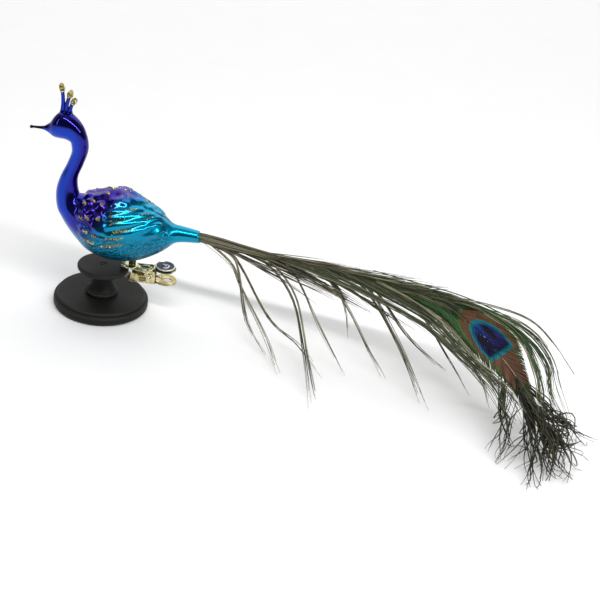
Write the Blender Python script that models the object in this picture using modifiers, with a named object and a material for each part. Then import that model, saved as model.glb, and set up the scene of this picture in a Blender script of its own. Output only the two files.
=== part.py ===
"""Glass peacock clip ornament with a real feather tail, clipped to a turned display stand.

Frame: metres, +Z up. The origin is the middle of the felt pad's underside. The bird faces -X and its
tail runs to +X; the bird's left side is on the -Y side.
"""
import math

import bmesh
import bpy
import numpy as np
from mathutils import Matrix, Vector

MM = 0.001

# ---- driving dimensions, in millimetres ----
BASE_RADIUS = 25.0
BASE_RIM_TOP = 4.5
BASE_TOP = 6.7
FELT_RADIUS = 22.0
FELT_THICK = 1.2
TENON_RADIUS = 3.0
STEM_WAIST_RADIUS = 5.3
STEM_FOOT_RADIUS = 8.6
TABLET_RADIUS = 13.44
TABLET_UNDER = 21.2
TABLET_TOP = 23.7
SCREW_SHANK_RADIUS = 0.75
SCREW_HEAD_RADIUS = 1.7

PIN_X = 25.3
PIN_Z = 22.4
PIN_RADIUS = 0.8
SHEET = 0.6
LOWER_HALF_WIDTH = 3.8
UPPER_HALF_WIDTH = 2.9
PAD_RADIUS = 5.9

MOUNT_X = 15.1
MOUNT_COIL_RADIUS = 2.0
MOUNT_WIRE = 0.7
MOUNT_BOTTOM = 25.8
MOUNT_TOP = 31.0
BIRD_PIVOT_Z = 28.5

GLASS_WALL = 0.8
BELLY_HOLE_RADIUS = 3.0
FIT_GAP = 0.3


# ---- scene, collections, materials ----
for old in list(bpy.data.objects):
    bpy.data.objects.remove(old, do_unlink=True)

scene = bpy.context.scene
scene.unit_settings.system = "METRIC"
parts = bpy.data.collections.new("peacock_clip_ornament")
cutters = bpy.data.collections.new("cutters")
scene.collection.children.link(parts)
scene.collection.children.link(cutters)


def make_material(name, colour, metallic, roughness):
    mat = bpy.data.materials.new(name)
    mat.use_nodes = True
    shader = mat.node_tree.nodes["Principled BSDF"]
    shader.inputs["Base Color"].default_value = (*colour, 1.0)
    shader.inputs["Metallic"].default_value = metallic
    shader.inputs["Roughness"].default_value = roughness
    return mat


def part_object(name, mesh, colour, metallic=0.0, roughness=0.5):
    """Link a mesh as a named piece with its own material and smooth round faces."""
    obj = bpy.data.objects.new(name, mesh)
    parts.objects.link(obj)
    mesh.materials.clear()
    mesh.materials.append(make_material(name, colour, metallic, roughness))
    smooth(mesh)
    return obj


def pivot(name, x, z, parent=None):
    """Empty on a joint axis, for the pieces that move together."""
    empty = bpy.data.objects.new(name, None)
    parts.objects.link(empty)
    empty.location = (x * MM, 0.0, z * MM)
    if parent is not None:
        hang(empty, parent)
    return empty


def hang(child, parent):
    """Parent a piece without moving it."""
    bpy.context.view_layer.update()
    child.parent = parent
    child.matrix_parent_inverse = parent.matrix_world.inverted()


def smooth(mesh):
    mesh.shade_smooth()
    mesh.set_sharp_from_angle(angle=math.radians(35))


def hidden_tool(name, mesh):
    """Link a mesh as a hidden Boolean tool."""
    obj = bpy.data.objects.new(name, mesh)
    cutters.objects.link(obj)
    obj.hide_render = True
    obj.display_type = "WIRE"
    return obj


def boolean(target, tool, operation):
    mod = target.modifiers.new(tool.name, "BOOLEAN")
    mod.operation = operation
    mod.solver = "EXACT"
    mod.object = tool


# ---- shape helpers ----
def turned_mesh(name, profile, steps):
    """Spin an (r, z) profile about Z. The profile runs down the outer side from top to bottom."""
    closed = profile[0][0] > 0.0
    mesh = bpy.data.meshes.new(name + "_profile")
    points = [(r * MM, 0.0, z * MM) for r, z in profile]
    edges = [(i, i + 1) for i in range(len(points) - 1)]
    if closed:
        edges.append((len(points) - 1, 0))
    mesh.from_pydata(points, edges, [])
    obj = bpy.data.objects.new(name + "_profile", mesh)
    cutters.objects.link(obj)
    spin = obj.modifiers.new("Spin", "SCREW")
    spin.angle = math.tau
    spin.steps = steps
    spin.render_steps = steps
    spin.use_merge_vertices = True
    spin.merge_threshold = 0.00001
    return baked(obj, name)


def baked(obj, name):
    """Evaluate an object into a plain mesh with consistent outward normals, and drop the object."""
    bpy.context.view_layer.update()
    depsgraph = bpy.context.evaluated_depsgraph_get()
    mesh = bpy.data.meshes.new_from_object(obj.evaluated_get(depsgraph))
    mesh.name = name
    mesh.transform(obj.matrix_world)
    bm = bmesh.new()
    bm.from_mesh(mesh)
    bmesh.ops.remove_doubles(bm, verts=bm.verts, dist=0.000005)
    bmesh.ops.recalc_face_normals(bm, faces=bm.faces)
    bm.to_mesh(mesh)
    bm.free()
    bpy.data.objects.remove(obj, do_unlink=True)
    return mesh


def stamped_mesh(name, outlines, thickness, matrix):
    """Extrude closed outlines drawn in a flat plane; later outlines lying inside the first are holes."""
    curve = bpy.data.curves.new(name, "CURVE")
    curve.dimensions = "2D"
    curve.fill_mode = "BOTH"
    curve.extrude = thickness * MM / 2
    curve.render_resolution_u = 0
    for outline in outlines:
        spline = curve.splines.new("POLY")
        spline.points.add(len(outline) - 1)
        for point, (u, v) in zip(spline.points, outline):
            point.co = (u * MM, v * MM, 0.0, 1.0)
        spline.use_cyclic_u = True
    obj = bpy.data.objects.new(name, curve)
    cutters.objects.link(obj)
    obj.matrix_world = matrix
    return baked(obj, name)


def side_plane(y):
    """Drawing plane whose u is world X and v is world Z, standing at the given y."""
    return Matrix.Translation((0.0, y * MM, 0.0)) @ Matrix.Rotation(math.radians(90), 4, "X")


def floor_plane(x, z, pitch=0.0):
    """Drawing plane whose u is world X and v is world Y, tipped nose down by pitch degrees."""
    return Matrix.Translation((x * MM, 0.0, z * MM)) @ Matrix.Rotation(math.radians(pitch), 4, "Y")


def circle(u, v, radius, count=28):
    angles = [math.tau * i / count for i in range(count)]
    return [(u + radius * math.cos(a), v + radius * math.sin(a)) for a in angles]


def wire_mesh(name, points, radius, radii=None, cyclic=False):
    """Round wire along a polyline, with filled ends."""
    curve = bpy.data.curves.new(name, "CURVE")
    curve.dimensions = "3D"
    curve.bevel_depth = radius * MM
    curve.bevel_resolution = 2
    curve.render_resolution_u = 0
    curve.use_fill_caps = True
    spline = curve.splines.new("POLY")
    spline.points.add(len(points) - 1)
    for i, (point, co) in enumerate(zip(spline.points, points)):
        point.co = (co[0] * MM, co[1] * MM, co[2] * MM, 1.0)
        if radii is not None:
            point.radius = radii[i] / radius
    spline.use_cyclic_u = cyclic
    obj = bpy.data.objects.new(name, curve)
    cutters.objects.link(obj)
    return baked(obj, name)


def spline_through(points, per_span):
    """Catmull-Rom curve through rows of numbers, with per_span steps between rows."""
    rows = np.array(points, float)
    padded = np.vstack([2 * rows[0] - rows[1], rows, 2 * rows[-1] - rows[-2]])
    out = []
    for i in range(1, len(padded) - 2):
        before, start, end, after = padded[i - 1:i + 3]
        for t in np.arange(per_span) / per_span:
            bend = 2 * before - 5 * start + 4 * end - after
            twist = 3 * start - 3 * end + after - before
            out.append(0.5 * (2 * start + (end - before) * t + bend * t ** 2 + twist * t ** 3))
    out.append(rows[-1])
    return np.array(out)


def skin(rings, cap_ends=True):
    """Quads between equal rings of points, with the first and last ring closed over."""
    count = len(rings[0])
    points = [tuple(p) for ring in rings for p in ring]
    faces = []
    for i in range(len(rings) - 1):
        for j in range(count):
            k = (j + 1) % count
            faces.append((i * count + j, i * count + k, (i + 1) * count + k, (i + 1) * count + j))
    if cap_ends:
        faces.append(tuple(range(count)))
        faces.append(tuple((len(rings) - 1) * count + j for j in range(count)))
    return points, faces


def lofted_mesh(name, rings, cap_ends=True):
    points, faces = skin(rings, cap_ends)
    mesh = bpy.data.meshes.new(name)
    mesh.from_pydata([(x * MM, y * MM, z * MM) for x, y, z in points], [], faces)
    bm = bmesh.new()
    bm.from_mesh(mesh)
    bmesh.ops.recalc_face_normals(bm, faces=bm.faces)
    bm.to_mesh(mesh)
    bm.free()
    return mesh


BLACK = (0.03, 0.03, 0.028)
GOLD = (0.83, 0.66, 0.36)
STEEL = (0.55, 0.55, 0.56)
DARK_STEEL = (0.13, 0.13, 0.11)
COBALT = (0.02, 0.06, 0.62)
TEAL = (0.0, 0.32, 0.55)
OLIVE = (0.11, 0.10, 0.06)

# ---- display stand: felt pad, base, stem and the round tablet the clip bites ----
felt = turned_mesh("felt_pad", [(0, FELT_THICK), (FELT_RADIUS, FELT_THICK), (FELT_RADIUS, 0), (0, 0)], 48)
part_object("felt_pad", felt, (0.02, 0.02, 0.02), roughness=1.0)

recess = FELT_RADIUS + FIT_GAP
socket = TENON_RADIUS + FIT_GAP
base_profile = [
    (socket, BASE_TOP), (22.6, BASE_TOP), (23.3, 6.4), (23.5, 5.6), (24.0, 4.9), (24.7, BASE_RIM_TOP),
    (BASE_RADIUS, 3.9), (BASE_RADIUS, 0.9), (24.6, 0.3), (recess, 0.3), (recess, FELT_THICK + FIT_GAP),
    (socket, FELT_THICK + FIT_GAP),
]
part_object("stand_base", turned_mesh("stand_base", base_profile, 56), BLACK, roughness=0.55)

bore = SCREW_SHANK_RADIUS + FIT_GAP
stem_profile = [
    (0, 13.0), (bore, 13.4), (bore, TABLET_UNDER - FIT_GAP), (5.7, TABLET_UNDER - FIT_GAP),
    (5.4, 19.0), (STEM_WAIST_RADIUS, 17.0), (5.6, 14.4), (6.3, 12.0), (7.3, 10.2), (8.2, 9.3),
    (STEM_FOOT_RADIUS, 8.6), (STEM_FOOT_RADIUS, 7.7), (8.2, BASE_TOP + FIT_GAP),
    (TENON_RADIUS, BASE_TOP + FIT_GAP), (TENON_RADIUS, 1.9), (0, 1.9),
]
part_object("stand_stem", turned_mesh("stand_stem", stem_profile, 36), BLACK, roughness=0.55)

tablet_profile = [
    (bore, 22.5), (SCREW_HEAD_RADIUS + 0.25, TABLET_TOP), (12.7, TABLET_TOP), (12.9, 23.4),
    (TABLET_RADIUS, 23.1), (TABLET_RADIUS, 21.7), (13.0, TABLET_UNDER), (bore, TABLET_UNDER),
]
part_object("stand_tablet", turned_mesh("stand_tablet", tablet_profile, 48), BLACK, roughness=0.55)

screw_profile = [
    (0, 23.5), (SCREW_HEAD_RADIUS - 0.1, 23.5), (SCREW_SHANK_RADIUS, 22.4), (SCREW_SHANK_RADIUS, 14.6),
    (0, 13.6),
]
part_object("tablet_screw", turned_mesh("tablet_screw", screw_profile, 20), DARK_STEEL, 1.0, 0.4)

# ---- clip: two stamped levers on a pin, spread apart behind the pin by a coil spring ----
jaw_top_under = TABLET_TOP + FIT_GAP
jaw_low_over = TABLET_UNDER - FIT_GAP

upper_web = [
    (9.4, jaw_top_under + 0.9), (9.6, jaw_top_under), (10.9, jaw_top_under), (11.6, jaw_top_under + 0.7),
    (13.6, 24.8), (27.0, 25.1), (28.6, 26.0), (37.6, 26.2), (37.6, 26.2 + SHEET), (28.3, 26.0 + SHEET),
    (26.7, 25.1 + SHEET), (13.4, 24.8 + SHEET), (11.1, jaw_top_under + 1.5), (10.0, jaw_top_under + 1.4),
]
upper_flange = [
    (14.6, 25.0), (27.6, 25.4), (27.6, 22.6), (27.2, 20.9), (26.0, 20.1), (24.6, 20.1), (23.4, 20.9),
    (22.9, 23.0), (20.5, 24.0), (15.4, 24.2),
]
upper = part_object(
    "upper_lever",
    stamped_mesh("upper_lever", [upper_web], 2 * UPPER_HALF_WIDTH, side_plane(0.0)), GOLD, 1.0, 0.25)
for side, label in ((-1, "near"), (1, "far")):
    flange_y = side * (UPPER_HALF_WIDTH - SHEET / 2)
    tool = stamped_mesh("upper_flange_" + label, [upper_flange], SHEET, side_plane(flange_y))
    boolean(upper, hidden_tool("upper_flange_" + label, tool), "UNION")
pad = stamped_mesh("upper_pad", [circle(0, 0, PAD_RADIUS)], 0.7, floor_plane(32.5, 26.45, 1.0))
boolean(upper, hidden_tool("upper_pad", pad), "UNION")
for y, label in ((-2.0, "near"), (0.0, "mid"), (2.0, "far")):
    tooth = stamped_mesh("upper_tooth_" + label, [circle(10.1, jaw_top_under + 0.75, 0.75, 14)], 1.3,
                         side_plane(y))
    boolean(upper, hidden_tool("upper_tooth_" + label, tooth), "UNION")
pin_bore = stamped_mesh("upper_pin_bore", [circle(PIN_X, PIN_Z, PIN_RADIUS + FIT_GAP, 20)], 12.0,
                        side_plane(0.0))
boolean(upper, hidden_tool("upper_pin_bore", pin_bore), "DIFFERENCE")

lower_web = [
    (9.8, jaw_low_over - 0.9), (9.9, jaw_low_over - 0.1), (10.8, jaw_low_over), (11.5, 20.2),
    (15.0, 18.5), (28.0, 18.6), (30.4, 19.8), (37.5, 19.6), (37.5, 19.6 - SHEET), (30.6, 19.8 - SHEET),
    (28.2, 18.6 - SHEET), (14.8, 18.5 - SHEET), (11.2, 19.4),
]
lower_flange = [
    (15.6, 18.1), (28.0, 18.2), (27.9, 21.2), (28.2, 23.0), (27.6, 24.6), (26.4, 25.6), (25.0, 25.9),
    (23.6, 25.4), (22.6, 24.2), (22.2, 22.2), (16.2, 21.7),
]
hinge_location = Vector((PIN_X * MM, 0.0, PIN_Z * MM))
lower_mesh = stamped_mesh("lower_lever", [lower_web], 2 * LOWER_HALF_WIDTH, side_plane(0.0))
lower_mesh.transform(Matrix.Translation(-hinge_location))
lower = part_object("lower_lever", lower_mesh, GOLD, 1.0, 0.25)
lower.location = hinge_location
for side, label in ((-1, "near"), (1, "far")):
    flange_y = side * (LOWER_HALF_WIDTH - SHEET / 2)
    tool = stamped_mesh("lower_flange_" + label, [lower_flange], SHEET, side_plane(flange_y))
    boolean(lower, hidden_tool("lower_flange_" + label, tool), "UNION")
ring = stamped_mesh("lower_pad", [circle(0, 0, PAD_RADIUS)], 0.7, floor_plane(33.4, 19.4, 1.5))
boolean(lower, hidden_tool("lower_pad", ring), "UNION")
eye_cut = stamped_mesh("lower_pad_eye", [circle(0, 0, 2.1, 20)], 6.0, floor_plane(34.4, 19.4))
boolean(lower, hidden_tool("lower_pad_eye", eye_cut), "DIFFERENCE")
for y, label in ((-2.4, "near"), (0.0, "mid"), (2.4, "far")):
    tooth = stamped_mesh("lower_tooth_" + label, [circle(10.4, jaw_low_over - 0.7, 0.7, 14)], 1.3,
                         side_plane(y))
    boolean(lower, hidden_tool("lower_tooth_" + label, tooth), "UNION")
low_bore = stamped_mesh("lower_pin_bore", [circle(PIN_X, PIN_Z, PIN_RADIUS + FIT_GAP, 20)], 12.0,
                        side_plane(0.0))
boolean(lower, hidden_tool("lower_pin_bore", low_bore), "DIFFERENCE")

pin_half = LOWER_HALF_WIDTH + 0.9
pin_profile = [
    (0, pin_half), (1.3, pin_half - 0.15), (1.45, pin_half - 0.4), (1.45, LOWER_HALF_WIDTH + FIT_GAP),
    (PIN_RADIUS, LOWER_HALF_WIDTH + FIT_GAP), (PIN_RADIUS, -LOWER_HALF_WIDTH - FIT_GAP),
    (1.45, -LOWER_HALF_WIDTH - FIT_GAP), (1.45, -pin_half + 0.4), (1.3, -pin_half + 0.15), (0, -pin_half),
]
pin_mesh = turned_mesh("hinge_pin", pin_profile, 20)
pin_mesh.transform(Matrix.Translation(hinge_location) @ Matrix.Rotation(math.radians(-90), 4, "X"))
part_object("hinge_pin", pin_mesh, GOLD, 1.0, 0.3)

spring_wire = 0.5
coil_radius = PIN_RADIUS + FIT_GAP + 0.1 + spring_wire / 2
spring_points = [(30.6, -1.7, 25.5), (28.6, -1.7, 24.6)]
start_angle = math.radians(60)
coil_turns = 3 - 120 / 360
for i in range(45):
    turn = i / 44
    angle = start_angle + turn * coil_turns * math.tau
    spring_points.append((PIN_X + coil_radius * math.cos(angle), -1.7 + 3.4 * turn,
                          PIN_Z + coil_radius * math.sin(angle)))
spring_points += [(28.4, 1.7, 20.1), (30.4, 1.7, 20.15 + spring_wire / 2)]
torsion = wire_mesh("torsion_spring", spring_points, spring_wire / 2)
part_object("torsion_spring", torsion, STEEL, 1.0, 0.3)

badge_profile = [(0, 0.62), (4.4, 0.62), (4.7, 0.9), (5.2, 0.9), (5.3, 0.3), (5.3, 0.0), (0, 0.0)]
badge = turned_mesh("thumb_badge", badge_profile, 36)
badge.transform(Matrix.Translation((32.5 * MM, 0.0, 27.1 * MM)) @ Matrix.Rotation(math.radians(1), 4, "Y"))
part_object("thumb_badge", badge, (0.03, 0.03, 0.10), 0.6, 0.3)

# ---- mount: riveted eyelet, upright coil spring, plaster plug inside the belly ----
eyelet_top = 24.95 + SHEET
eyelet = turned_mesh("mount_eyelet", [(0, eyelet_top + 1.3), (0.8, eyelet_top + 1.25), (1.2, eyelet_top + 0.9),
                                      (1.2, eyelet_top + 0.25), (0, eyelet_top + 0.25)], 18)
eyelet.transform(Matrix.Translation((MOUNT_X * MM, 0.0, 0.0)))
part_object("mount_eyelet", eyelet, GOLD, 1.0, 0.3)

turns = 5.0
coil_points = []
for i in range(int(turns * 14) + 1):
    share = i / (turns * 14)
    angle = share * turns * math.tau
    height = MOUNT_BOTTOM + MOUNT_WIRE / 2 + share * (MOUNT_TOP - MOUNT_BOTTOM - MOUNT_WIRE)
    coil_points.append((MOUNT_X + MOUNT_COIL_RADIUS * math.cos(angle), MOUNT_COIL_RADIUS * math.sin(angle),
                        height))
coil = wire_mesh("mount_spring", coil_points, MOUNT_WIRE / 2)
part_object("mount_spring", coil, DARK_STEEL, 1.0, 0.4)

plug = turned_mesh("belly_plug", [(0, 2.6), (2.6, 2.4), (2.7, 0.4), (2.4, 0), (0, 0)], 20)
plug.transform(Matrix.Translation((MOUNT_X * MM, 0.0, (MOUNT_TOP + FIT_GAP) * MM)))
part_object("belly_plug", plug, (0.75, 0.73, 0.68), roughness=0.9)

# ---- blown glass bird: one hollow shell from beak to tail tube ----
# Each row: section centre x and z, lean of the section from +X in degrees, half height, half width.
GLASS_SECTIONS = [
    (-40.8, 95.4, 90, 0.5, 0.5), (-35.0, 95.7, 90, 0.8, 0.8), (-32.8, 95.9, 90, 1.5, 1.5),
    (-30.9, 96.3, 90, 2.9, 2.6), (-28.6, 97.5, 90, 5.4, 4.6), (-25.8, 98.6, 89, 6.8, 5.8),
    (-22.2, 98.6, 83, 7.0, 6.0), (-18.9, 96.6, 69, 6.0, 5.3), (-16.6, 93.4, 48, 5.0, 4.7),
    (-15.3, 86.9, 13, 4.3, 4.3), (-17.2, 79.4, 4, 4.2, 4.2), (-20.1, 71.5, 7, 4.6, 4.6),
    (-20.9, 64.8, 12, 5.6, 5.6), (-20.1, 58.4, 38, 6.9, 6.9), (-18.4, 55.3, 58, 8.0, 8.0),
    (-13.3, 50.2, 84, 11.8, 11.2), (-9.4, 47.9, 91, 14.4, 13.3), (-4.4, 47.0, 94, 16.3, 15.0),
    (1.8, 47.2, 97, 18.0, 16.6), (8.3, 47.7, 98, 18.5, 17.2), (15.3, 47.5, 98, 17.1, 15.8),
    (21.8, 47.1, 98, 14.1, 13.1), (27.5, 47.1, 98, 10.9, 10.2), (32.2, 47.4, 98, 7.7, 7.4),
    (35.6, 47.6, 99, 5.1, 5.1), (39.9, 47.9, 99, 4.2, 4.2), (48.8, 47.6, 99, 3.2, 3.2),
]


def glass_ring(section, inset, count):
    """Ellipse of one section, drawn in by the wall thickness."""
    x, z, lean, half_height, half_width = section
    up = (half_height - inset) * np.array([math.cos(math.radians(lean)), 0.0, math.sin(math.radians(lean))])
    out = (half_width - inset) * np.array([0.0, 1.0, 0.0])
    centre = np.array([x, 0.0, z])
    return [centre + math.cos(a) * up + math.sin(a) * out for a in np.arange(count) * math.tau / count]


RING_POINTS = 26
outer_sections = spline_through(GLASS_SECTIONS, 2)
inner_sections = [row for row in outer_sections if row[0] > -30.5 or row[1] < 90.0]
glass_rings = [glass_ring(row, 0.0, RING_POINTS) for row in outer_sections]
glass_rings += [glass_ring(row, GLASS_WALL, RING_POINTS) for row in reversed(inner_sections)]
glass = part_object("glass_body", lofted_mesh("glass_body", glass_rings), TEAL, 0.9, 0.12)
belly_tool = turned_mesh("belly_hole", [(0, 34.0), (BELLY_HOLE_RADIUS, 34.0), (BELLY_HOLE_RADIUS, 26.0), (0, 26.0)],
                         24)
belly_tool.transform(Matrix.Translation((MOUNT_X * MM, 0.0, 0.0)))
boolean(glass, hidden_tool("belly_hole", belly_tool), "DIFFERENCE")

# ---- crest: three drawn glass prongs, each tipped with glitter ----
CREST = [
    ("front", (-25.1, 0.0, 106.0), (-25.5, 0.0, 116.3), (-25.7, 0.0, 119.9)),
    ("middle", (-23.1, 0.0, 106.1), (-22.1, 0.0, 113.2), (-21.5, 0.0, 117.0)),
    ("rear", (-21.2, 0.0, 106.0), (-20.3, 0.0, 110.0), (-18.8, 0.0, 113.1)),
]
for label, root, neck, tip in CREST:
    prong_name = "crest_prong_" + label
    prong = wire_mesh(prong_name, [root, neck], 0.9, radii=[0.95, 0.7])
    part_object(prong_name, prong, COBALT, 0.9, 0.12)
    start = Vector(neck)
    axis = (Vector(tip) - start).normalized()
    length = (Vector(tip) - start).length
    bead_profile = [(0, length), (0.9, length - 0.3), (1.3, length - 1.2), (1.1, 1.1), (0.7, FIT_GAP), (0, FIT_GAP)]
    bead = turned_mesh("crest_tip_" + label, bead_profile, 16)
    turn = Vector((0.0, 0.0, 1.0)).rotation_difference(axis).to_matrix().to_4x4()
    bead.transform(Matrix.Translation(start * MM) @ turn)
    part_object("crest_tip_" + label, bead, GOLD, 0.8, 0.5)

# ---- feather: shaft glued in the tail tube, barbs laid along it, eye, loose sprays and end tuft ----
SHAFT = [
    (33.0, 0.0, 47.6), (48.9, 0.0, 47.7), (75.5, -3.0, 46.0), (102.0, -7.5, 45.6), (128.0, -13.5, 46.0),
    (154.0, -20.5, 45.8), (169.0, -26.5, 46.2), (181.0, -34.5, 45.6), (197.5, -48.0, 39.0),
    (213.3, -65.0, 29.2), (224.0, -82.0, 16.0),
]
SHAFT_RADIUS = 0.9
shaft_points = spline_through(SHAFT, 4)
shaft_radii = np.interp(shaft_points[:, 0], [33, 130, 224], [SHAFT_RADIUS, 0.7, 0.4])
shaft = wire_mesh("feather_shaft", shaft_points, SHAFT_RADIUS, radii=shaft_radii)
part_object("feather_shaft", shaft, (0.45, 0.38, 0.26), roughness=0.5)

plug_profile = [(2.2, 8.0), (2.2, 0.0), (1.4, 0.0), (1.4, 8.0)]
tail_plug = turned_mesh("tail_plug", plug_profile, 20)
tail_plug.transform(Matrix.Translation((40.2 * MM, 0.0, 47.7 * MM)) @ Matrix.Rotation(math.radians(90), 4, "Y"))
part_object("tail_plug", tail_plug, (0.3, 0.25, 0.15), roughness=0.8)


def shaft_at(x):
    """Shaft centre, unit tangent, level sideways and upward directions where the shaft passes x."""
    columns = [np.interp([x - 0.5, x, x + 0.5], shaft_points[:, 0], shaft_points[:, k]) for k in range(3)]
    before, centre, after = np.array(columns).T
    tangent = (after - before) / np.linalg.norm(after - before)
    side = np.cross((0.0, 0.0, 1.0), tangent)
    side /= np.linalg.norm(side)
    return centre, tangent, side, np.cross(tangent, side)


# Wad of barbs along each flank of the shaft: x, half thickness, half depth.
WAD = np.array([(49.9, 0.7, 1.7), (70.0, 1.0, 2.4), (110.0, 1.5, 3.6), (150.0, 1.7, 4.2), (186.0, 1.3, 3.4)])


def wad_at(x, side_sign):
    """Centre of the wad at x, with its half thickness and half depth as vectors."""
    centre, _, side, up = shaft_at(x)
    thick = np.interp(x, WAD[:, 0], WAD[:, 1])
    deep = np.interp(x, WAD[:, 0], WAD[:, 2])
    return centre + side_sign * side * (SHAFT_RADIUS + FIT_GAP + thick) - up * 0.4, side * thick, up * deep


def barb_wad(name, side_sign):
    rings = []
    for x in np.linspace(WAD[0, 0], WAD[-1, 0], 24):
        centre, thick, deep = wad_at(x, side_sign)
        rings.append([centre + math.cos(a) * thick + math.sin(a) * deep for a in np.arange(10) * math.tau / 10])
    part_object(name, lofted_mesh(name, rings), OLIVE, roughness=0.7)


barb_wad("barbs_near", -1)
barb_wad("barbs_far", 1)

EYE_WIDTH = np.array([(187.2, 4.5), (195.0, 8.5), (206.0, 9.0), (224.0, 4.0)])


def eye_vane(name, side_sign):
    """Thin curved vane along one side of the shaft, where the eye of the feather is."""
    rings = []
    for x in np.linspace(EYE_WIDTH[0, 0], EYE_WIDTH[-1, 0], 16):
        centre, tangent, side, up = shaft_at(x)
        across = side_sign * (side * 0.86 + up * 0.5)
        normal = np.cross(across, tangent)
        wide = np.interp(x, EYE_WIDTH[:, 0], EYE_WIDTH[:, 1])
        inner = centre + across * (SHAFT_RADIUS + FIT_GAP)
        outer = inner + across * wide
        rings.append([inner + normal * 0.4, outer + normal * 0.3, outer - normal * 0.3, inner - normal * 0.4])
    part_object(name, lofted_mesh(name, rings), (0.02, 0.18, 0.25), roughness=0.5)


eye_vane("eye_vane_near", -1)
eye_vane("eye_vane_far", 1)


def barb_spray(name, root, bend, tip, root_half, tip_half):
    """Flat tapering fan of loose barbs on a bent path, ending just above the table."""
    rings = []
    root, bend, tip = (np.array(p, float) for p in (root, bend, tip))
    for t in np.linspace(0, 1, 9):
        point = (1 - t) ** 2 * root + 2 * t * (1 - t) * bend + t ** 2 * tip
        tangent = (1 - t) * (bend - root) + t * (tip - bend)
        across = np.cross(tangent, (0.25, 1.0, -0.6))
        across /= np.linalg.norm(across)
        thick = np.cross(tangent, across)
        thick *= 0.5 / np.linalg.norm(thick)
        half = root_half + (tip_half - root_half) * t
        rings.append([point + across * half, point + thick, point - across * half, point - thick])
    part_object(name, lofted_mesh(name, rings), OLIVE, roughness=0.7)


# Each row: name, flank of the shaft, x where it leaves the wad, bend, tip, half widths at root and tip.
SPRAYS = [
    ("barb_spray_1", -1, 76.0, (86.0, -16.0, 28.0), (91.0, -28.0, 2.6), 1.2, 0.8),
    ("barb_spray_2", -1, 94.0, (108.0, -34.0, 34.0), (115.5, -68.0, 2.6), 1.6, 1.0),
    ("barb_spray_3", 1, 118.0, (134.0, -22.0, 30.0), (138.0, -38.0, 2.8), 1.8, 1.2),
    ("barb_spray_4", -1, 142.0, (164.0, -40.0, 32.0), (175.0, -60.0, 2.8), 2.0, 1.2),
    ("barb_spray_5", 1, 166.0, (196.0, -24.0, 30.0), (206.0, -46.0, 3.0), 2.0, 1.2),
]
for name, flank, leave_x, bend, tip, root_half, tip_half in SPRAYS:
    wad_centre, _, wad_deep = wad_at(leave_x, flank)
    root = wad_centre - wad_deep - np.array([0.0, 0.0, 2 * FIT_GAP + 0.8 * root_half])
    barb_spray(name, root, bend, tip, root_half, tip_half)

barb_spray("barb_spray_6", (184.0, -26.5, 47.0), (232.0, -32.0, 47.0), (256.5, -7.0, 3.2), 1.6, 1.2)
barb_spray("tip_tuft_near", (223.2, -86.2, 13.2), (221.0, -99.0, 9.0), (217.0, -110.5, 3.0), 1.8, 2.0)
barb_spray("tip_tuft_middle", (227.0, -85.0, 13.6), (232.0, -96.0, 9.0), (233.5, -104.5, 3.0), 1.8, 2.0)
barb_spray("tip_tuft_far", (229.5, -81.0, 14.2), (244.0, -77.0, 12.0), (252.5, -67.0, 3.2), 1.6, 1.6)

# ---- what moves together ----
clip_carriage = pivot("clip_carriage", TABLET_RADIUS, PIN_Z)
bird_swivel = pivot("bird_swivel", MOUNT_X, MOUNT_BOTTOM, clip_carriage)
bird_tilt = pivot("bird_tilt", MOUNT_X, BIRD_PIVOT_Z, bird_swivel)
STAND_PIECES = {"felt_pad", "stand_base", "stand_stem", "stand_tablet", "tablet_screw"}
CLIP_PIECES = {"upper_lever", "lower_lever", "hinge_pin", "torsion_spring", "thumb_badge", "mount_eyelet"}
for piece in list(parts.objects):
    if piece.type != "MESH" or piece.name in STAND_PIECES:
        continue
    if piece.name in CLIP_PIECES:
        hang(piece, clip_carriage)
    elif piece.name == "mount_spring":
        hang(piece, bird_swivel)
    else:
        hang(piece, bird_tilt)
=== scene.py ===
"""Looks for the glass peacock clip ornament on its black turned stand.

Lengths are in millimetres until a mesh is made. +Z up, the bird faces -X, its left side is -Y.
"""
import math

import bpy
import numpy as np
from mathutils import Matrix, Vector


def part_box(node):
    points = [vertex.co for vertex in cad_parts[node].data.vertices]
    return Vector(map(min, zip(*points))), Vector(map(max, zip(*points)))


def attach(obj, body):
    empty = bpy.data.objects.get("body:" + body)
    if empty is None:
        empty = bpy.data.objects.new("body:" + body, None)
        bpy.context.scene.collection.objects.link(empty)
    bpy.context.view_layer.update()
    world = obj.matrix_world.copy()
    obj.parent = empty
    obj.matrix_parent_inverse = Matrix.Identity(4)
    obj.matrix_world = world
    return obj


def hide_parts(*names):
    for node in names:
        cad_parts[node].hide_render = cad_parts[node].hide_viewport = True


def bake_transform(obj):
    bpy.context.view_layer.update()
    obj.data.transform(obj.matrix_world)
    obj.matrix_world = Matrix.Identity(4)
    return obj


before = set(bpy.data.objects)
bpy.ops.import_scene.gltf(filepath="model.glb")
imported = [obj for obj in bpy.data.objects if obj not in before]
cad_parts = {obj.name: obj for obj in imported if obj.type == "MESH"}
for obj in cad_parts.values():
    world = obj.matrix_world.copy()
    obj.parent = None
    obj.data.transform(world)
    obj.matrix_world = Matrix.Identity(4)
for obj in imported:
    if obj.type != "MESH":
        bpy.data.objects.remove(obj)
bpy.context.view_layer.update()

# ---- Felt pad ----
# A disc of black needle felt glued in a shallow recess under the base, so the wood never touches the
# table. Its cut edge is fuzzy and a little uneven.
MM = 0.001


def feed(tree, socket, item):
    """Links a Value to a socket, or sets the socket to a constant."""
    if isinstance(item, Value):
        tree.links.new(item.socket, socket)
    else:
        socket.default_value = item


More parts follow.
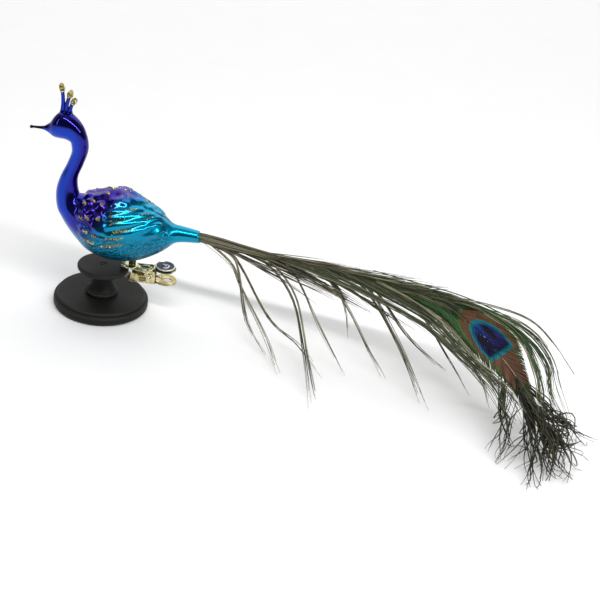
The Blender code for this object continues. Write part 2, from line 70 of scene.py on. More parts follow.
class Value:
    """A number or colour flowing through a material, with ordinary arithmetic on numbers."""

    def __init__(self, tree, socket):
        self.tree = tree
        self.socket = socket

    def maths(self, operation, *inputs, clamp=False):
        node = self.tree.nodes.new("ShaderNodeMath")
        node.operation = operation
        node.use_clamp = clamp
        for slot, item in zip(node.inputs, inputs):
            feed(self.tree, slot, item)
        return Value(self.tree, node.outputs[0])

    def __add__(self, other):
        return self.maths("ADD", self, other)

    def __radd__(self, other):
        return self.maths("ADD", other, self)

    def __sub__(self, other):
        return self.maths("SUBTRACT", self, other)

    def __rsub__(self, other):
        return self.maths("SUBTRACT", other, self)

    def __mul__(self, other):
        return self.maths("MULTIPLY", self, other)

    def __rmul__(self, other):
        return self.maths("MULTIPLY", other, self)

    def __truediv__(self, other):
        return self.maths("DIVIDE", self, other)

    def __rtruediv__(self, other):
        return self.maths("DIVIDE", other, self)

    def __pow__(self, other):
        return self.maths("POWER", self, other)

    def __rpow__(self, other):
        return self.maths("POWER", other, self)

    def clip(self):
        return self.maths("ADD", self, 0.0, clamp=True)

    def wave(self):
        return self.maths("SINE", self)

    def size(self):
        return self.maths("ABSOLUTE", self)

    def least(self, other):
        return self.maths("MINIMUM", self, other)

    def most(self, other):
        return self.maths("MAXIMUM", self, other)

    def ramp(self, low, high):
        """0 at low, 1 at high, straight in between. low may be above high."""
        return ((self - low) / (high - low)).clip()


class Paint:
    """A Principled material whose inputs are set by name, as constants or as Values."""

    def __init__(self, name, **constants):
        self.material = bpy.data.materials.new(name)
        self.material.use_nodes = True
        self.tree = self.material.node_tree
        self.shader = self.tree.nodes["Principled BSDF"]
        for key, value in constants.items():
            self.shader.inputs[key.replace("_", " ").title().replace("Ior", "IOR")].default_value = value

    def node(self, kind, out=0, settings=(), **inputs):
        """Any other node: settings as (attribute, value) pairs first, then inputs by name or _number."""
        node = self.tree.nodes.new("ShaderNode" + kind)
        for key, value in settings:
            setattr(node, key, value)
        for key, value in inputs.items():
            feed(self.tree, node.inputs[int(key[1:]) if key[0] == "_" else key.replace("_", " ")], value)
        return Value(self.tree, node.outputs[out])

    def place(self):
        return self.node("TexCoord", out=3)

    def part_of_place(self, axis):
        return self.node("SeparateXYZ", out=axis, Vector=self.place())

    def field(self, name):
        return self.node("Attribute", out=2, settings=[("attribute_name", name)])

    def noise(self, scale, detail=3.0, rough=0.5, stretch=(1.0, 1.0, 1.0)):
        where = self.node("Mapping", Vector=self.place(), Scale=stretch)
        return self.node("TexNoise", Vector=where, Scale=scale, Detail=detail, Roughness=rough)

    def cells(self, scale):
        return self.node("TexVoronoi", settings=[("feature", "SMOOTH_F1")], Vector=self.place(), Scale=scale)

    def facing(self, blend):
        return self.node("LayerWeight", out=1, Blend=blend)

    def blend(self, share, first, second):
        first, second = (c if isinstance(c, Value) else (*c, 1.0) for c in (first, second))
        return self.node("Mix", out=2, settings=[("data_type", "RGBA")], _0=share, _6=first, _7=second)

    def set(self, socket, value):
        self.tree.links.new(value.socket, self.shader.inputs[socket])

    def bump(self, height, strength, distance):
        self.set("Normal", self.node("Bump", Strength=strength, Distance=distance, Height=height))

    def finish(self, grain, dark, pale, rough, bump):
        """Colour from dark to pale, roughness rough[0] + rough[1] grain, and a bump, all led by grain."""
        self.set("Base Color", self.blend(grain, dark, pale))
        self.set("Roughness", rough[0] + rough[1] * grain)
        self.bump(grain, *bump)


def box(node):
    """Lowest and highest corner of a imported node."""
    return [np.array(corner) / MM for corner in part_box(node)]


def patch(grid, ends="fan", **fields):
    """A grid of points, joined round sideways, as a skin facing out. Its first and last row each close
    with a fan to their middle or with one flat face, or they join each other as a loop."""
    rows, cols = grid.shape[:2]
    index = np.arange(rows * cols).reshape(rows, cols)
    near, far = index, np.roll(index, -1, axis=1)
    if ends == "loop":
        near, far = np.vstack([near, near[:1]]), np.vstack([far, far[:1]])
    quads = np.stack([near[:-1], far[:-1], far[1:], near[1:]], -1).reshape(-1, 4)
    points = grid.reshape(-1, 3)
    a, b, c, d = (points[quads[:, k]] for k in range(4))
    outward = (np.cross(c - a, d - b) * (a + b + c + d - 4 * points.mean(0))).sum() > 0
    faces = (quads if outward else quads[:, ::-1]).tolist()
    values = {key: np.asarray(v, float).reshape(rows * cols, 1) for key, v in fields.items()}
    for row in (0, rows - 1):
        ring = index[row][::-1 if (row == 0) == outward else 1].tolist()
        if ends == "face":
            faces.append(ring)
        elif ends == "fan":
            faces += [[p, q, len(points)] for p, q in zip(ring, ring[1:] + ring[:1])]
            points = np.vstack([points, grid[row].mean(0)])
            values = {key: np.vstack([v, v[index[row]].mean(0)]) for key, v in values.items()}
    return points, faces, values


def piece(name, patches, paint, body, slot, *stands_for, flat=False):
    """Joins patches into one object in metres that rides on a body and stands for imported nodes."""
    points, faces, values, total = [], [], {}, 0
    for more_points, more_faces, more_values in patches:
        points.append(more_points)
        faces += [[i + total for i in face] for face in more_faces]
        for key, value in more_values.items():
            values.setdefault(key, []).append(value)
        total += len(more_points)
    mesh = bpy.data.meshes.new(name)
    mesh.from_pydata((np.vstack(points) * MM).tolist(), [], faces)
    for key, stack in values.items():
        mesh.attributes.new(key, "FLOAT", "POINT").data.foreach_set("value", np.vstack(stack).ravel())
    mesh.polygons.foreach_set("use_smooth", np.full(len(mesh.polygons), not flat))
    mesh.materials.append(paint.material)
    obj = bpy.data.objects.new(name, mesh)
    bpy.context.scene.collection.objects.link(obj)
    if body:
        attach(obj, body)
    for node in stands_for:
        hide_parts(node)
    return obj


def rounded(corners, steps=5):
    """Line through (x, y, radius) corners, each corner eased by the parabola
    (1-t)^2 start + 2t(1-t) corner + t^2 end, which leaves its sides a radius away."""
    points = np.array(corners, float)[:, :2]
    line = [points[0]]
    for back, here, ahead, (_, _, radius) in zip(points, points[1:], points[2:], corners[1:]):
        if radius == 0:
            line.append(here)
            continue
        start, end = (here + (side - here) * min(0.49, radius / np.linalg.norm(side - here))
                      for side in (back, ahead))
        line += [(1 - t) ** 2 * start + 2 * t * (1 - t) * here + t ** 2 * end for t in np.linspace(0, 1, steps)]
    return np.array(line + [points[-1]])


def turned(corners, around=120, steps=5, wander=0.0, at=(0.0, 0.0, 0.0)):
    """Turns a rounded (r, z) profile about an upright line: (r cos a, r sin a, z) + at, where each
    radius swells by wander three times a turn."""
    profile = rounded(corners, steps)
    angle = np.arange(around) * math.tau / around
    r = profile[:, 0, None] * (1 + wander * np.sin(3 * angle + 0.7))
    z = np.repeat(profile[:, 1, None], around, axis=1)
    return np.stack([r * np.cos(angle), r * np.sin(angle), z], -1) + at


AXIS = 0.01
felt_low, felt_high = box("felt_pad")
felt_radius, felt_top = (felt_high[0] - felt_low[0]) / 2, felt_high[2]
felt_paint = Paint("black felt", Specular_Ior_Level=0.1, Sheen_Weight=0.35)
felt_paint.finish(felt_paint.noise(2600.0, 4.0), (0.012, 0.012, 0.012), (0.05, 0.05, 0.048), (1.0, 0.0),
                  (0.6, 0.0003))
felt_profile = [(AXIS, felt_top, 0), (felt_radius, felt_top, 0.25), (felt_radius, 0.0, 0.35), (AXIS, 0.0, 0)]
piece("felt_disc", [patch(turned(felt_profile, wander=0.002))], felt_paint, "stand", "felt", "felt_pad")

# ---- Stand base ----
# A turned wooden disc with a stepped rim: a plain lower band, a quirk above it and a slightly smaller
# upper table. Sprayed satin black; its outward-turning edges are painted paler as a highlight.
base_low, base_high = box("stand_base")
base_radius, base_top, base_under = (base_high[0] - base_low[0]) / 2, base_high[2], 0.3
black_paint = Paint("satin black wood", Specular_Ior_Level=0.13, Coat_Weight=0.02, Coat_Roughness=0.35)
grain = black_paint.noise(420.0, 5.0, 0.6, stretch=(1.0, 1.0, 3.5))
speck = black_paint.noise(3200.0, 2.0)
# Painted highlight: the outward-turning edges of each turned profile are coloured a paler grey.
edge_wear = black_paint.field("wear")
edge_highlight_share = (edge_wear * (0.35 + 0.9 * grain)).clip()
highlight_and_speck_share = (edge_highlight_share * 0.55 + (speck - 0.62).most(0.0) * 1.6).clip()
black_paint.set("Base Color", black_paint.blend(highlight_and_speck_share, (0.0085, 0.0085, 0.0078), (0.075, 0.072, 0.066)))
black_paint.set("Roughness", 0.46 + 0.16 * grain - 0.08 * edge_wear)
lathe_x, lathe_y = black_paint.part_of_place(0), black_paint.part_of_place(1)
lathe_radius = (lathe_x * lathe_x + lathe_y * lathe_y) ** 0.5
tool_rings = (lathe_radius * 5200.0 + grain * 3.0).wave()
black_paint.bump(0.25 * tool_rings + grain + 0.5 * speck, 0.16, 0.0002)


def highlit_edges(corners, around):
    """Turned patch with a painted-highlight field: 1 where the profile turns outwards, 0 on its flats."""
    grid = turned(corners, around, wander=0.0004)
    profile = np.stack([np.hypot(grid[:, 0, 0], grid[:, 0, 1]), grid[:, 0, 2]], -1)
    first, second = profile - np.roll(profile, 1, 0), np.roll(profile, -1, 0) - profile
    turn = first[:, 0] * second[:, 1] - first[:, 1] * second[:, 0]
    lengths = np.linalg.norm(first, axis=1) * np.linalg.norm(second, axis=1) + 1e-9
    wear = np.clip(-3.0 * turn / lengths, 0, 1)
    wear[[0, -1]] = 0
    return patch(grid, wear=np.repeat(wear[:, None], around, axis=1))


base_profile = [
    (AXIS, base_top, 0), (14.0, base_top, 2.0), (22.7, base_top - 0.05, 0.5), (23.35, base_top - 0.45, 0.4),
    (23.45, base_top - 1.5, 0.3), (23.75, 4.95, 0.3), (24.55, 4.65, 0.45), (base_radius, 4.0, 0.7),
    (base_radius, 1.0, 0.6), (24.3, base_under, 0.3), (12.0, base_under, 0.3), (AXIS, base_under, 0),
]
piece("turned_base", [highlit_edges(base_profile, 200)], black_paint, "stand", "black_wood", "stand_base")

# ---- Stand stem ----
# A short turned column: a bead foot, a hollow sweeping up to a narrow waist, and a small flare under
# the tablet. Its tenon is glued into the base.
stem_top, stem_foot = box("stand_stem")[1][2], 6.6
stem_profile = [
    (AXIS, stem_top + 0.25, 0), (5.8, stem_top + 0.2, 0.2), (5.6, stem_top - 1.0, 0.5), (5.3, 17.4, 1.6),
    (5.35, 15.4, 1.5), (5.75, 13.4, 1.5), (6.5, 11.4, 1.5), (7.5, 9.9, 0.8), (7.75, 9.35, 0.1),
    (8.15, 9.2, 0.2), (8.6, 8.75, 0.4), (8.62, 7.8, 0.4), (8.25, 6.95, 0.3), (7.9, stem_foot, 0.1),
    (AXIS, stem_foot, 0),
]
piece("turned_stem", [highlit_edges(stem_profile, 120)], black_paint, "stand", "black_wood", "stand_stem")

# ---- Stand tablet ----
# The small round top that the clip bites: a flat disc with a fine step round its edge, held by a
# countersunk screw whose dark slotted head shows in the middle.
tablet_low, tablet_high = box("stand_tablet")
tablet_radius = (tablet_high[0] - tablet_low[0]) / 2
tablet_top, tablet_under, sink = tablet_high[2], tablet_low[2], 1.25
tablet_profile = [
    (AXIS, tablet_top - sink, 0), (0.75, tablet_top - sink, 0.1), (1.95, tablet_top, 0.12),
    (12.55, tablet_top, 0.15), (12.75, tablet_top - 0.3, 0.1), (13.1, tablet_top - 0.38, 0.2),
    (tablet_radius, tablet_top - 0.8, 0.3), (tablet_radius, tablet_under + 0.45, 0.35),
    (13.0, tablet_under, 0.3), (AXIS, tablet_under, 0),
]
piece("turned_tablet", [highlit_edges(tablet_profile, 160)], black_paint, "stand", "black_wood", "stand_tablet")


def smoothstep(low, high, x):
    """3t^2 - 2t^3 of the share t of x between low and high. low may be above high."""
    t = np.clip((x - low) / (high - low), 0.0, 1.0)
    return t * t * (3 - 2 * t)


screw_paint = Paint("blackened screw", Metallic=1.0)
screw_paint.finish(screw_paint.noise(5200.0), (0.012, 0.012, 0.011), (0.06, 0.057, 0.052), (0.35, 0.3),
                   (0.2, 0.0001))
HEAD_RADIUS, SLOT_DEEP, SLOT_TURN = 1.55, 0.35, 0.5
head_r, head_a = np.meshgrid(np.linspace(0, HEAD_RADIUS, 14), np.arange(48) * math.tau / 48, indexing="ij")
across_slot = np.abs(head_r * np.sin(head_a - SLOT_TURN))
slot_cut = SLOT_DEEP * smoothstep(0.3, 0.16, across_slot) * smoothstep(1.5, 1.3, head_r)
head_grid = np.stack([head_r * np.cos(head_a), head_r * np.sin(head_a), tablet_top - 0.22 - slot_cut], -1)
head_skirt = head_grid[-1:] * [0.45, 0.45, 1.0] - [0.0, 0.0, 0.95]
piece("tablet_screw_head", [patch(np.vstack([head_grid[1:], head_skirt]))], screw_paint, "stand",
      "dark_steel", "tablet_screw")

# ---- Clip levers ----
# Two levers stamped from thin brass sheet and dipped to a pale gold. The upper one is a channel with
# curled teeth at its mouth. The lower one has side cheeks with pressed bars painted dark as slot shade,
# square ears for the pin, and a ribbed neck running out to its ring pad; its jaw end is painted dark brown as
# shade.
PALE_GOLD = (0.82, 0.73, 0.42)
gold_paint = Paint("pale gold dip", Metallic=1.0, Coat_Weight=0.5, Coat_Roughness=0.12)
tarnish = gold_paint.noise(260.0, 5.0, 0.6)
pits = gold_paint.noise(2400.0)
gold_paint.set("Base Color", gold_paint.blend(tarnish.ramp(0.34, 0.64), PALE_GOLD, (0.36, 0.29, 0.11)))
gold_paint.set("Roughness", 0.10 + 0.2 * tarnish + 0.08 * pits)
gold_paint.bump(pits + 0.6 * tarnish, 0.22, 0.00025)

jaw_paint = Paint("pale gold dip, painted jaw shade", Metallic=1.0, Coat_Weight=0.4, Coat_Roughness=0.12)
jaw_tarnish, jaw_x = jaw_paint.noise(260.0, 5.0, 0.6), jaw_paint.part_of_place(0)
ring_tarnish = jaw_tarnish + 0.11 * jaw_x.ramp(0.0275, 0.0305)
jaw_gold = jaw_paint.blend(ring_tarnish.ramp(0.34, 0.64), PALE_GOLD, (0.30, 0.24, 0.09))
# Painted shade: the jaw end, up to about x = 15 mm, is coloured dark brown.
jaw_shade = (jaw_x + (jaw_tarnish - 0.5) * 0.002).ramp(0.0158, 0.0140)
jaw_paint.set("Base Color", jaw_paint.blend(jaw_shade, jaw_gold, (0.055, 0.034, 0.022)))
jaw_paint.set("Roughness", 0.12 + 0.2 * jaw_tarnish + 0.15 * jaw_shade)
jaw_paint.bump(jaw_tarnish, 0.25, 0.0003)

channel_paint = Paint("tarnished channel", Metallic=1.0, Coat_Weight=0.4, Coat_Roughness=0.1)
patina = channel_paint.noise(330.0, 4.0, 0.6, stretch=(0.22, 1.0, 1.0))
channel_tone = channel_paint.blend(patina.ramp(0.42, 0.56), (0.74, 0.72, 0.50), (0.05, 0.09, 0.035))
channel_paint.set("Base Color", channel_tone)
channel_paint.set("Roughness", 0.12 + 0.2 * patina)
channel_paint.bump(patina, 0.3, 0.0003)

# Painted shade: the pressed bars on the cheeks are dark plates standing for the shaded inside of slots.
slot_shade_paint = Paint("painted slot shade", Metallic=0.6)
slot_shade_paint.finish(slot_shade_paint.noise(1800.0), (0.012, 0.014, 0.006), (0.09, 0.075, 0.025), (0.4, 0.3),
                  (0.3, 0.0001))

for lever, paint in (("lower_lever", jaw_paint), ("upper_lever", channel_paint)):
    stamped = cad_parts[lever]
    stamped.data.materials.clear()
    stamped.data.materials.append(paint.material)
    rolled = stamped.modifiers.new("rolled edges", "BEVEL")
    rolled.width = 0.16 * MM
    rolled.segments = 2
    rolled.limit_method = "ANGLE"
    rolled.angle_limit = math.radians(28)
    rolled.harden_normals = True
    stamped.data.polygons.foreach_set("use_smooth", np.full(len(stamped.data.polygons), True))


def tube(path, radius, sides=12, guide=(0.0, 1.0, 0.0), **fields):
    """Circle carried along a path: point = path + radius (cos a side + sin a up), where side is square
    to both the path and the guide direction."""
    forward = np.gradient(path, axis=0)
    side = np.cross(forward, guide)
    side /= np.linalg.norm(side, axis=1, keepdims=True)
    up = np.cross(forward, side)
    up /= np.linalg.norm(up, axis=1, keepdims=True)
    angle = (np.arange(sides) * math.tau / sides)[:, None]
    ring = np.cos(angle) * side[:, None] + np.sin(angle) * up[:, None]
    radius = np.broadcast_to(radius, len(path))[:, None, None]
    return patch(path[:, None] + radius * ring, ends="face", **fields)


def stamped_plate(outline, side, thick, swell, rings=7):
    """Flat plate on a cheek with a pressed dome. The outline shrinks by shares s to its middle while
    its face stands thick + swell (1 - s^2) off the cheek. side is -1 or 1 along Y."""
    middle = outline.mean(0)
    share = np.linspace(1.0, 0.0, rings + 1)[:-1]
    shrink = np.r_[1.0, 1.0, 0.97 * share][:, None, None]
    lift = np.r_[-0.1, 0.6 * thick, thick + swell * (1 - share ** 2)][:, None]
    flat = middle + (outline - middle) * shrink
    return patch(np.stack([flat[..., 0], side * (CHEEK + lift) + 0 * flat[..., 0], flat[..., 1]], -1))


CHEEK = 3.8
EAR = rounded([(23.2, 19.4, 0), (23.2, 18.9, 0.2), (23.9, 18.1, 0.3), (27.3, 18.1, 0.3), (28.0, 18.9, 0.3),
               (28.0, 24.7, 0.3), (27.2, 25.6, 0.3), (24.0, 25.6, 0.3), (23.2, 24.7, 0.3), (23.2, 19.5, 0)], 4)
SNOUT = rounded([(15.0, 18.6, 0), (15.3, 18.2, 0.2), (17.2, 18.0, 0.3), (19.0, 18.2, 0.3), (19.4, 20.4, 0.4),
                 (19.0, 22.2, 0.5), (18.2, 23.1, 0.5), (17.4, 22.8, 0.3), (16.7, 23.2, 0.4),
                 (15.6, 22.7, 0.5), (15.0, 21.2, 0.4), (14.8, 19.6, 0.3), (15.0, 18.7, 0)], 4)
BAR = rounded([(-0.4, -0.1, 0), (-0.36, -0.42, 0.1), (0.36, -0.42, 0.1), (0.4, 0.0, 0.1), (0.36, 0.42, 0.1),
               (-0.36, 0.42, 0.1), (-0.4, 0.0, 0)], 3)
pressed, slots = [], []
for side in (-1, 1):
    pressed.append(stamped_plate(EAR, side, 0.2, 0.05))
    pressed.append(stamped_plate(SNOUT, side, 0.05, 0.3))
    for bar_z in (20.9, 19.4):
        slots += [stamped_plate(BAR + [bar_x, bar_z], side, 0.06, 0.06, 3) for bar_x in (20.2, 21.4, 22.5)]
rib_steps = np.linspace(0, 1, 12)[:, None]
for fan in np.linspace(-1, 1, 7):
    start = np.array([28.4, fan * 2.6, 18.55])
    end = np.array([31.9 - 0.5 * fan ** 2, fan * 4.3, 19.72])
    middle = (start + end) / 2 + [0.2, 0.0, 0.42]
    rib = (1 - rib_steps) ** 2 * start + 2 * rib_steps * (1 - rib_steps) * middle + rib_steps ** 2 * end
    pressed.append(tube(rib, 0.5 * np.sin(np.linspace(0.35, 2.9, 12)), 8))
piece("lower_lever_pressings", pressed, gold_paint, "jaw", "gold_metal")
piece("lower_lever_slot_shade", slots, slot_shade_paint, "jaw", "gold_metal")


def ridge(start_x, end_x, y, above, radius, ends, power, steps, sides):
    """Straight rib along the channel, its top following the web: radius sin(a)^power from end to end."""
    x = np.linspace(start_x, end_x, steps)
    z = np.interp(x, [13.4, 26.7, 28.3], [25.45, 25.75, 26.6]) + above
    swell = np.sin(np.linspace(ends, math.pi - ends, steps)) ** power
    return tube(np.stack([x, 0 * x + y, z], -1), radius * swell, sides)


ridges = [ridge(15.2, 27.2, y, 0.05, 0.42, 0.25, 0.35, 26, 10) for y in (-2.3, 2.3)]
ridges.append(ridge(19.2, 26.6, 0.0, -0.1, 1.15, 0.12, 0.7, 20, 16))
piece("upper_lever_ridges", ridges, channel_paint, "clip", "gold_metal")

CURL_X, CURL_Z, CURL_HALF_WIDE, CURL_HALF_THICK = 10.35, 25.35, 0.62, 0.14
spiral = np.linspace(0, 1, 34)
curl_angle = math.radians(200) - spiral * math.radians(430)
curl_out = np.stack([np.cos(curl_angle), 0 * spiral, np.sin(curl_angle)], -1)
curl_reach = (0.95 - 0.62 * spiral)[:, None]
curls = [patch(np.stack([
    [CURL_X, curl_y + side * CURL_HALF_WIDE, CURL_Z] + curl_out * (curl_reach + push * CURL_HALF_THICK)
    for side, push in ((-1, -1), (1, -1), (1, 1), (-1, 1))], 1), ends="face") for curl_y in (-2.15, 0.0, 2.15)]
piece("upper_jaw_curls", curls, channel_paint, "clip", "gold_metal")

# ---- Hinge pin ----
# A soft brass rivet through both pairs of ears. Each head is dished by the punch that set it.
pin_low, pin_high = box("hinge_pin")
pin_x, _, pin_z = (pin_low + pin_high) / 2
rivet_profile = [(AXIS, 0.05, 0), (0.55, 0.12, 0.1), (0.85, 0.55, 0.1), (1.2, 0.78, 0.15), (1.45, 0.6, 0.12),
                 (1.45, 0.0, 0), (0.75, -0.02, 0), (0.75, -CHEEK, 0), (AXIS, -CHEEK, 0)]
upright = turned(rivet_profile, 40, 4)
pin_halves = [patch(np.stack([pin_x + upright[..., 0], side * (CHEEK + 0.24 + upright[..., 2]),
                              pin_z + upright[..., 1]], -1)) for side in (-1, 1)]
piece("hinge_rivet", pin_halves, channel_paint, "clip", "gold_metal", "hinge_pin")

# ---- Clip spring ----
# Three turns of hard steel wire on the pin between the levers. One arm lies under the upper lever, the
# other in the lower lever, and they spread the thumb pads apart.
steel_paint = Paint("spring steel wire", Metallic=1.0)
steel_paint.finish(steel_paint.noise(1800.0, 4.0), (0.16, 0.155, 0.14), (0.42, 0.41, 0.38), (0.22, 0.25),
                   (0.15, 0.0001))
COIL_RADIUS, COIL_HALF_WIDE, COIL_TURNS, COIL_START = 1.45, 1.7, 3 - 120 / 360, math.radians(60)
coil_turn = np.linspace(0, 1, 90)
coil_angle = COIL_START + coil_turn * COIL_TURNS * math.tau
coil = np.stack([pin_x + COIL_RADIUS * np.cos(coil_angle), COIL_HALF_WIDE * (2 * coil_turn - 1),
                 pin_z + COIL_RADIUS * np.sin(coil_angle)], -1)
upper_arm = [(30.4, -COIL_HALF_WIDE, 25.4), (28.6, -COIL_HALF_WIDE, 24.62), (27.0, -COIL_HALF_WIDE, 24.1)]
lower_arm = [(27.2, COIL_HALF_WIDE, 20.7), (28.4, COIL_HALF_WIDE, 20.1), (30.4, COIL_HALF_WIDE, 20.4)]
clip_spring = piece("clip_spring_wire", [tube(np.vstack([upper_arm, coil, lower_arm]), 0.25, 10)], steel_paint,
                    None, "spring_steel", "torsion_spring")
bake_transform(clip_spring)

# ---- Thumb badge ----
# A round cup with a bright rolled rim, filled with purple-black enamel. Fine rings and a silver swirl
# of a hook, a foot and a leaf are struck in the metal under the enamel.
badge_low, badge_high = box("thumb_badge")
badge_x, badge_z = (badge_low[0] + badge_high[0]) / 2, badge_low[2] + 0.1
badge_lean = np.array(Matrix.Rotation(math.radians(1), 3, "Y")).T
rim_paint = Paint("silvered rim", Metallic=1.0)
rim_paint.finish(rim_paint.noise(900.0, 4.0), (0.80, 0.78, 0.68), (0.60, 0.54, 0.36), (0.2, 0.2), (0.2, 0.0002))
cup = turned([(AXIS, 0.35, 0), (4.3, 0.35, 0.1), (4.55, 0.55, 0.1), (4.8, 0.95, 0.15), (5.2, 0.9, 0.15),
              (5.35, 0.45, 0.15), (5.2, 0.02, 0.1), (AXIS, 0.02, 0)], 96)
piece("badge_cup", [patch(cup @ badge_lean + [badge_x, 0.0, badge_z])], rim_paint, "clip", "gold_metal",
      "thumb_badge")

enamel_paint = Paint("dark enamel", Coat_Weight=0.05, Coat_Roughness=0.04, Specular_Ior_Level=0.07)
badge_u = (enamel_paint.part_of_place(0) - badge_x * MM) / MM
badge_v = enamel_paint.part_of_place(1) / MM
warp = enamel_paint.noise(420.0, 2.0) - 0.5


def from_middle(u, v, wide=1.0, tall=1.0):
    """Distance (wide u^2 + tall v^2)^0.5 from the middle of a struck shape."""
    return (wide * u * u + tall * v * v) ** 0.5


badge_r = from_middle(badge_u, badge_v)
fine_rings = (badge_r * 11.0).wave().ramp(-0.1, 0.9) * badge_r.ramp(1.6, 2.4)
hook_r = from_middle(badge_u + 0.2 + warp * 1.2, badge_v + 0.1, 1.0, 1.6)
hook = (1.0 - ((hook_r - 2.3) * 2.6).size()).clip() * (badge_u * 1.4 + badge_v + 0.9).ramp(-0.2, 0.8)
foot = (1.0 - from_middle(badge_u - 0.3, badge_v + 2.1 + warp, 0.16, 1.6) * 1.4).clip()
leaf = (1.0 - from_middle(badge_u - 0.35 - warp, badge_v - 0.15, 0.5, 2.4) * 1.4).clip()
swirl = hook.most(foot).most(leaf).ramp(0.1, 0.45)
enamel_base = enamel_paint.blend(fine_rings, (0.008, 0.006, 0.028), (0.11, 0.12, 0.22))
enamel_paint.set("Base Color", enamel_paint.blend(swirl, enamel_base, (0.62, 0.66, 0.74)))
enamel_paint.set("Metallic", 0.05 + 0.9 * swirl)
enamel_paint.set("Roughness", 0.3 - 0.12 * swirl)
enamel_paint.bump(swirl + 0.4 * fine_rings, 0.4, 0.0002)
enamel = turned([(AXIS, 0.72, 0), (3.0, 0.68, 1.2), (4.62, 0.6, 0.1), (4.62, 0.3, 0.05), (AXIS, 0.3, 0)], 96)
piece("badge_enamel", [patch(enamel @ badge_lean + [badge_x, 0.0, badge_z])], enamel_paint, "clip",
      "blue_enamel")

# ---- Mount ----
# A riveted eyelet on the upper lever holds the foot of an upright coil spring of dark wire. The spring's
# top end is set in a plaster plug inside the belly, and the ornament nods on it.
mount_low, mount_high = box("mount_spring")
mount_x, mount_foot, mount_top = (mount_low[0] + mount_high[0]) / 2, mount_low[2], mount_high[2]
rivet = turned([(AXIS, 1.45, 0), (0.5, 1.3, 0.2), (0.95, 1.15, 0.2), (1.3, 0.75, 0.15), (1.3, 0.1, 0.1),
                (3.4, 0.1, 0.1), (3.55, -0.08, 0.1), (3.4, -0.26, 0.1), (AXIS, -0.26, 0)], 72,
               at=(mount_x, 0.0, box("mount_eyelet")[0][2]))
piece("eyelet_rivet", [patch(rivet)], gold_paint, "clip", "gold_metal", "mount_eyelet")

wire_paint = Paint("dark mount wire", Metallic=1.0)
wire_paint.finish(wire_paint.noise(1500.0, 4.0), (0.030, 0.030, 0.014), (0.16, 0.15, 0.07), (0.28, 0.2),
                  (0.2, 0.0002))
WIRE_RADIUS, MOUNT_RADIUS, MOUNT_TURNS = 0.36, 1.6, 5
wire_turn = np.linspace(0, 1, MOUNT_TURNS * 36)
wire_angle = wire_turn * MOUNT_TURNS * math.tau
wire_z = mount_foot + WIRE_RADIUS + wire_turn * (mount_top - mount_foot - 2 * WIRE_RADIUS)
wire_path = np.stack([mount_x + MOUNT_RADIUS * np.cos(wire_angle), MOUNT_RADIUS * np.sin(wire_angle), wire_z], -1)
mount_wire = piece("mount_coil", [tube(wire_path, WIRE_RADIUS, guide=(0.0, 0.0, 1.0))], wire_paint, None,
                   "dark_steel", "mount_spring")
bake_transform(mount_wire)

plaster_paint = Paint("plaster", Specular_Ior_Level=0.2)
plaster_paint.finish(plaster_paint.noise(1500.0, 5.0), (0.55, 0.53, 0.47), (0.80, 0.78, 0.72), (0.8, 0.2),
                     (0.6, 0.0004))
plug_low, plug_high = (corner[2] for corner in box("belly_plug"))
plug = turned([(AXIS, plug_high, 0), (2.5, plug_high - 0.2, 0.3), (2.75, plug_low + 0.4, 0.4),
               (2.3, plug_low - 0.5, 0.3), (AXIS, plug_low - 0.2, 0)], 48, wander=0.02, at=(mount_x, 0.0, 0.0))
piece("plaster_plug", [patch(plug)], plaster_paint, "bird", "plaster", "belly_plug")

# ---- Glass bird ----
# One bubble of thin glass, mouth-blown into a mould and silvered inside, then dipped in clear lacquers:
# cobalt on head and neck, violet on the shoulders, teal over wings, belly and tail. The mould gives
# lapped feathers and a pebbled belly. The tail is an open tube; a small belly neck takes the mount.
SECTIONS = [
    # centre x, centre z, lean from +X in degrees, half height, half width
    (-40.8, 95.4, 90, 0.5, 0.5), (-35.0, 95.7, 90, 0.8, 0.8), (-32.8, 95.9, 90, 1.5, 1.5),
    (-30.9, 96.3, 90, 2.9, 2.6), (-28.6, 97.5, 90, 5.4, 4.6), (-25.8, 98.6, 89, 6.8, 5.8),
    (-22.2, 98.6, 83, 7.0, 6.0), (-18.9, 96.6, 69, 6.0, 5.3), (-16.6, 93.4, 48, 5.0, 4.7),
    (-15.3, 86.9, 13, 4.3, 4.3), (-17.2, 79.4, 4, 4.2, 4.2), (-20.1, 71.5, 7, 4.6, 4.6),
    (-20.9, 64.8, 12, 5.6, 5.6), (-20.1, 58.4, 38, 6.9, 6.9), (-18.4, 55.3, 58, 8.0, 8.0),
    (-13.3, 50.2, 84, 11.8, 11.2), (-9.4, 47.9, 91, 14.4, 13.3), (-4.4, 47.0, 94, 16.3, 15.0),
    (1.8, 47.2, 97, 18.0, 16.6), (8.3, 47.7, 98, 18.5, 17.2), (15.3, 47.5, 98, 17.1, 15.8),
    (21.8, 47.1, 98, 14.1, 13.1), (27.5, 47.1, 98, 10.9, 10.2), (32.2, 47.4, 98, 7.7, 7.4),
    (35.6, 47.6, 99, 5.1, 5.1), (39.9, 47.9, 99, 4.2, 4.2), (48.8, 47.6, 99, 3.2, 3.2),
]
BODY_STATION, TAIL_STATION, LAST_STATION = 14, 24, len(SECTIONS) - 1
ARC = 17.0 * math.pi / 180


def through(rows, steps):
    """Catmull-Rom curve through rows of numbers, read at steps: 0 is the first row, 1 the second."""
    rows = np.array(rows, float)
    padded = np.vstack([2 * rows[0] - rows[1], rows, 2 * rows[-1] - rows[-2]])
    span = np.clip(np.floor(steps).astype(int), 0, len(rows) - 2)
    t = (steps - span)[..., None]
    before, start, end, after = (padded[span + k] for k in range(4))
    bend = 2 * before - 5 * start + 4 * end - after
    twist = 3 * start - 3 * end + after - before
    return 0.5 * (2 * start + (end - before) * t + bend * t ** 2 + twist * t ** 3)


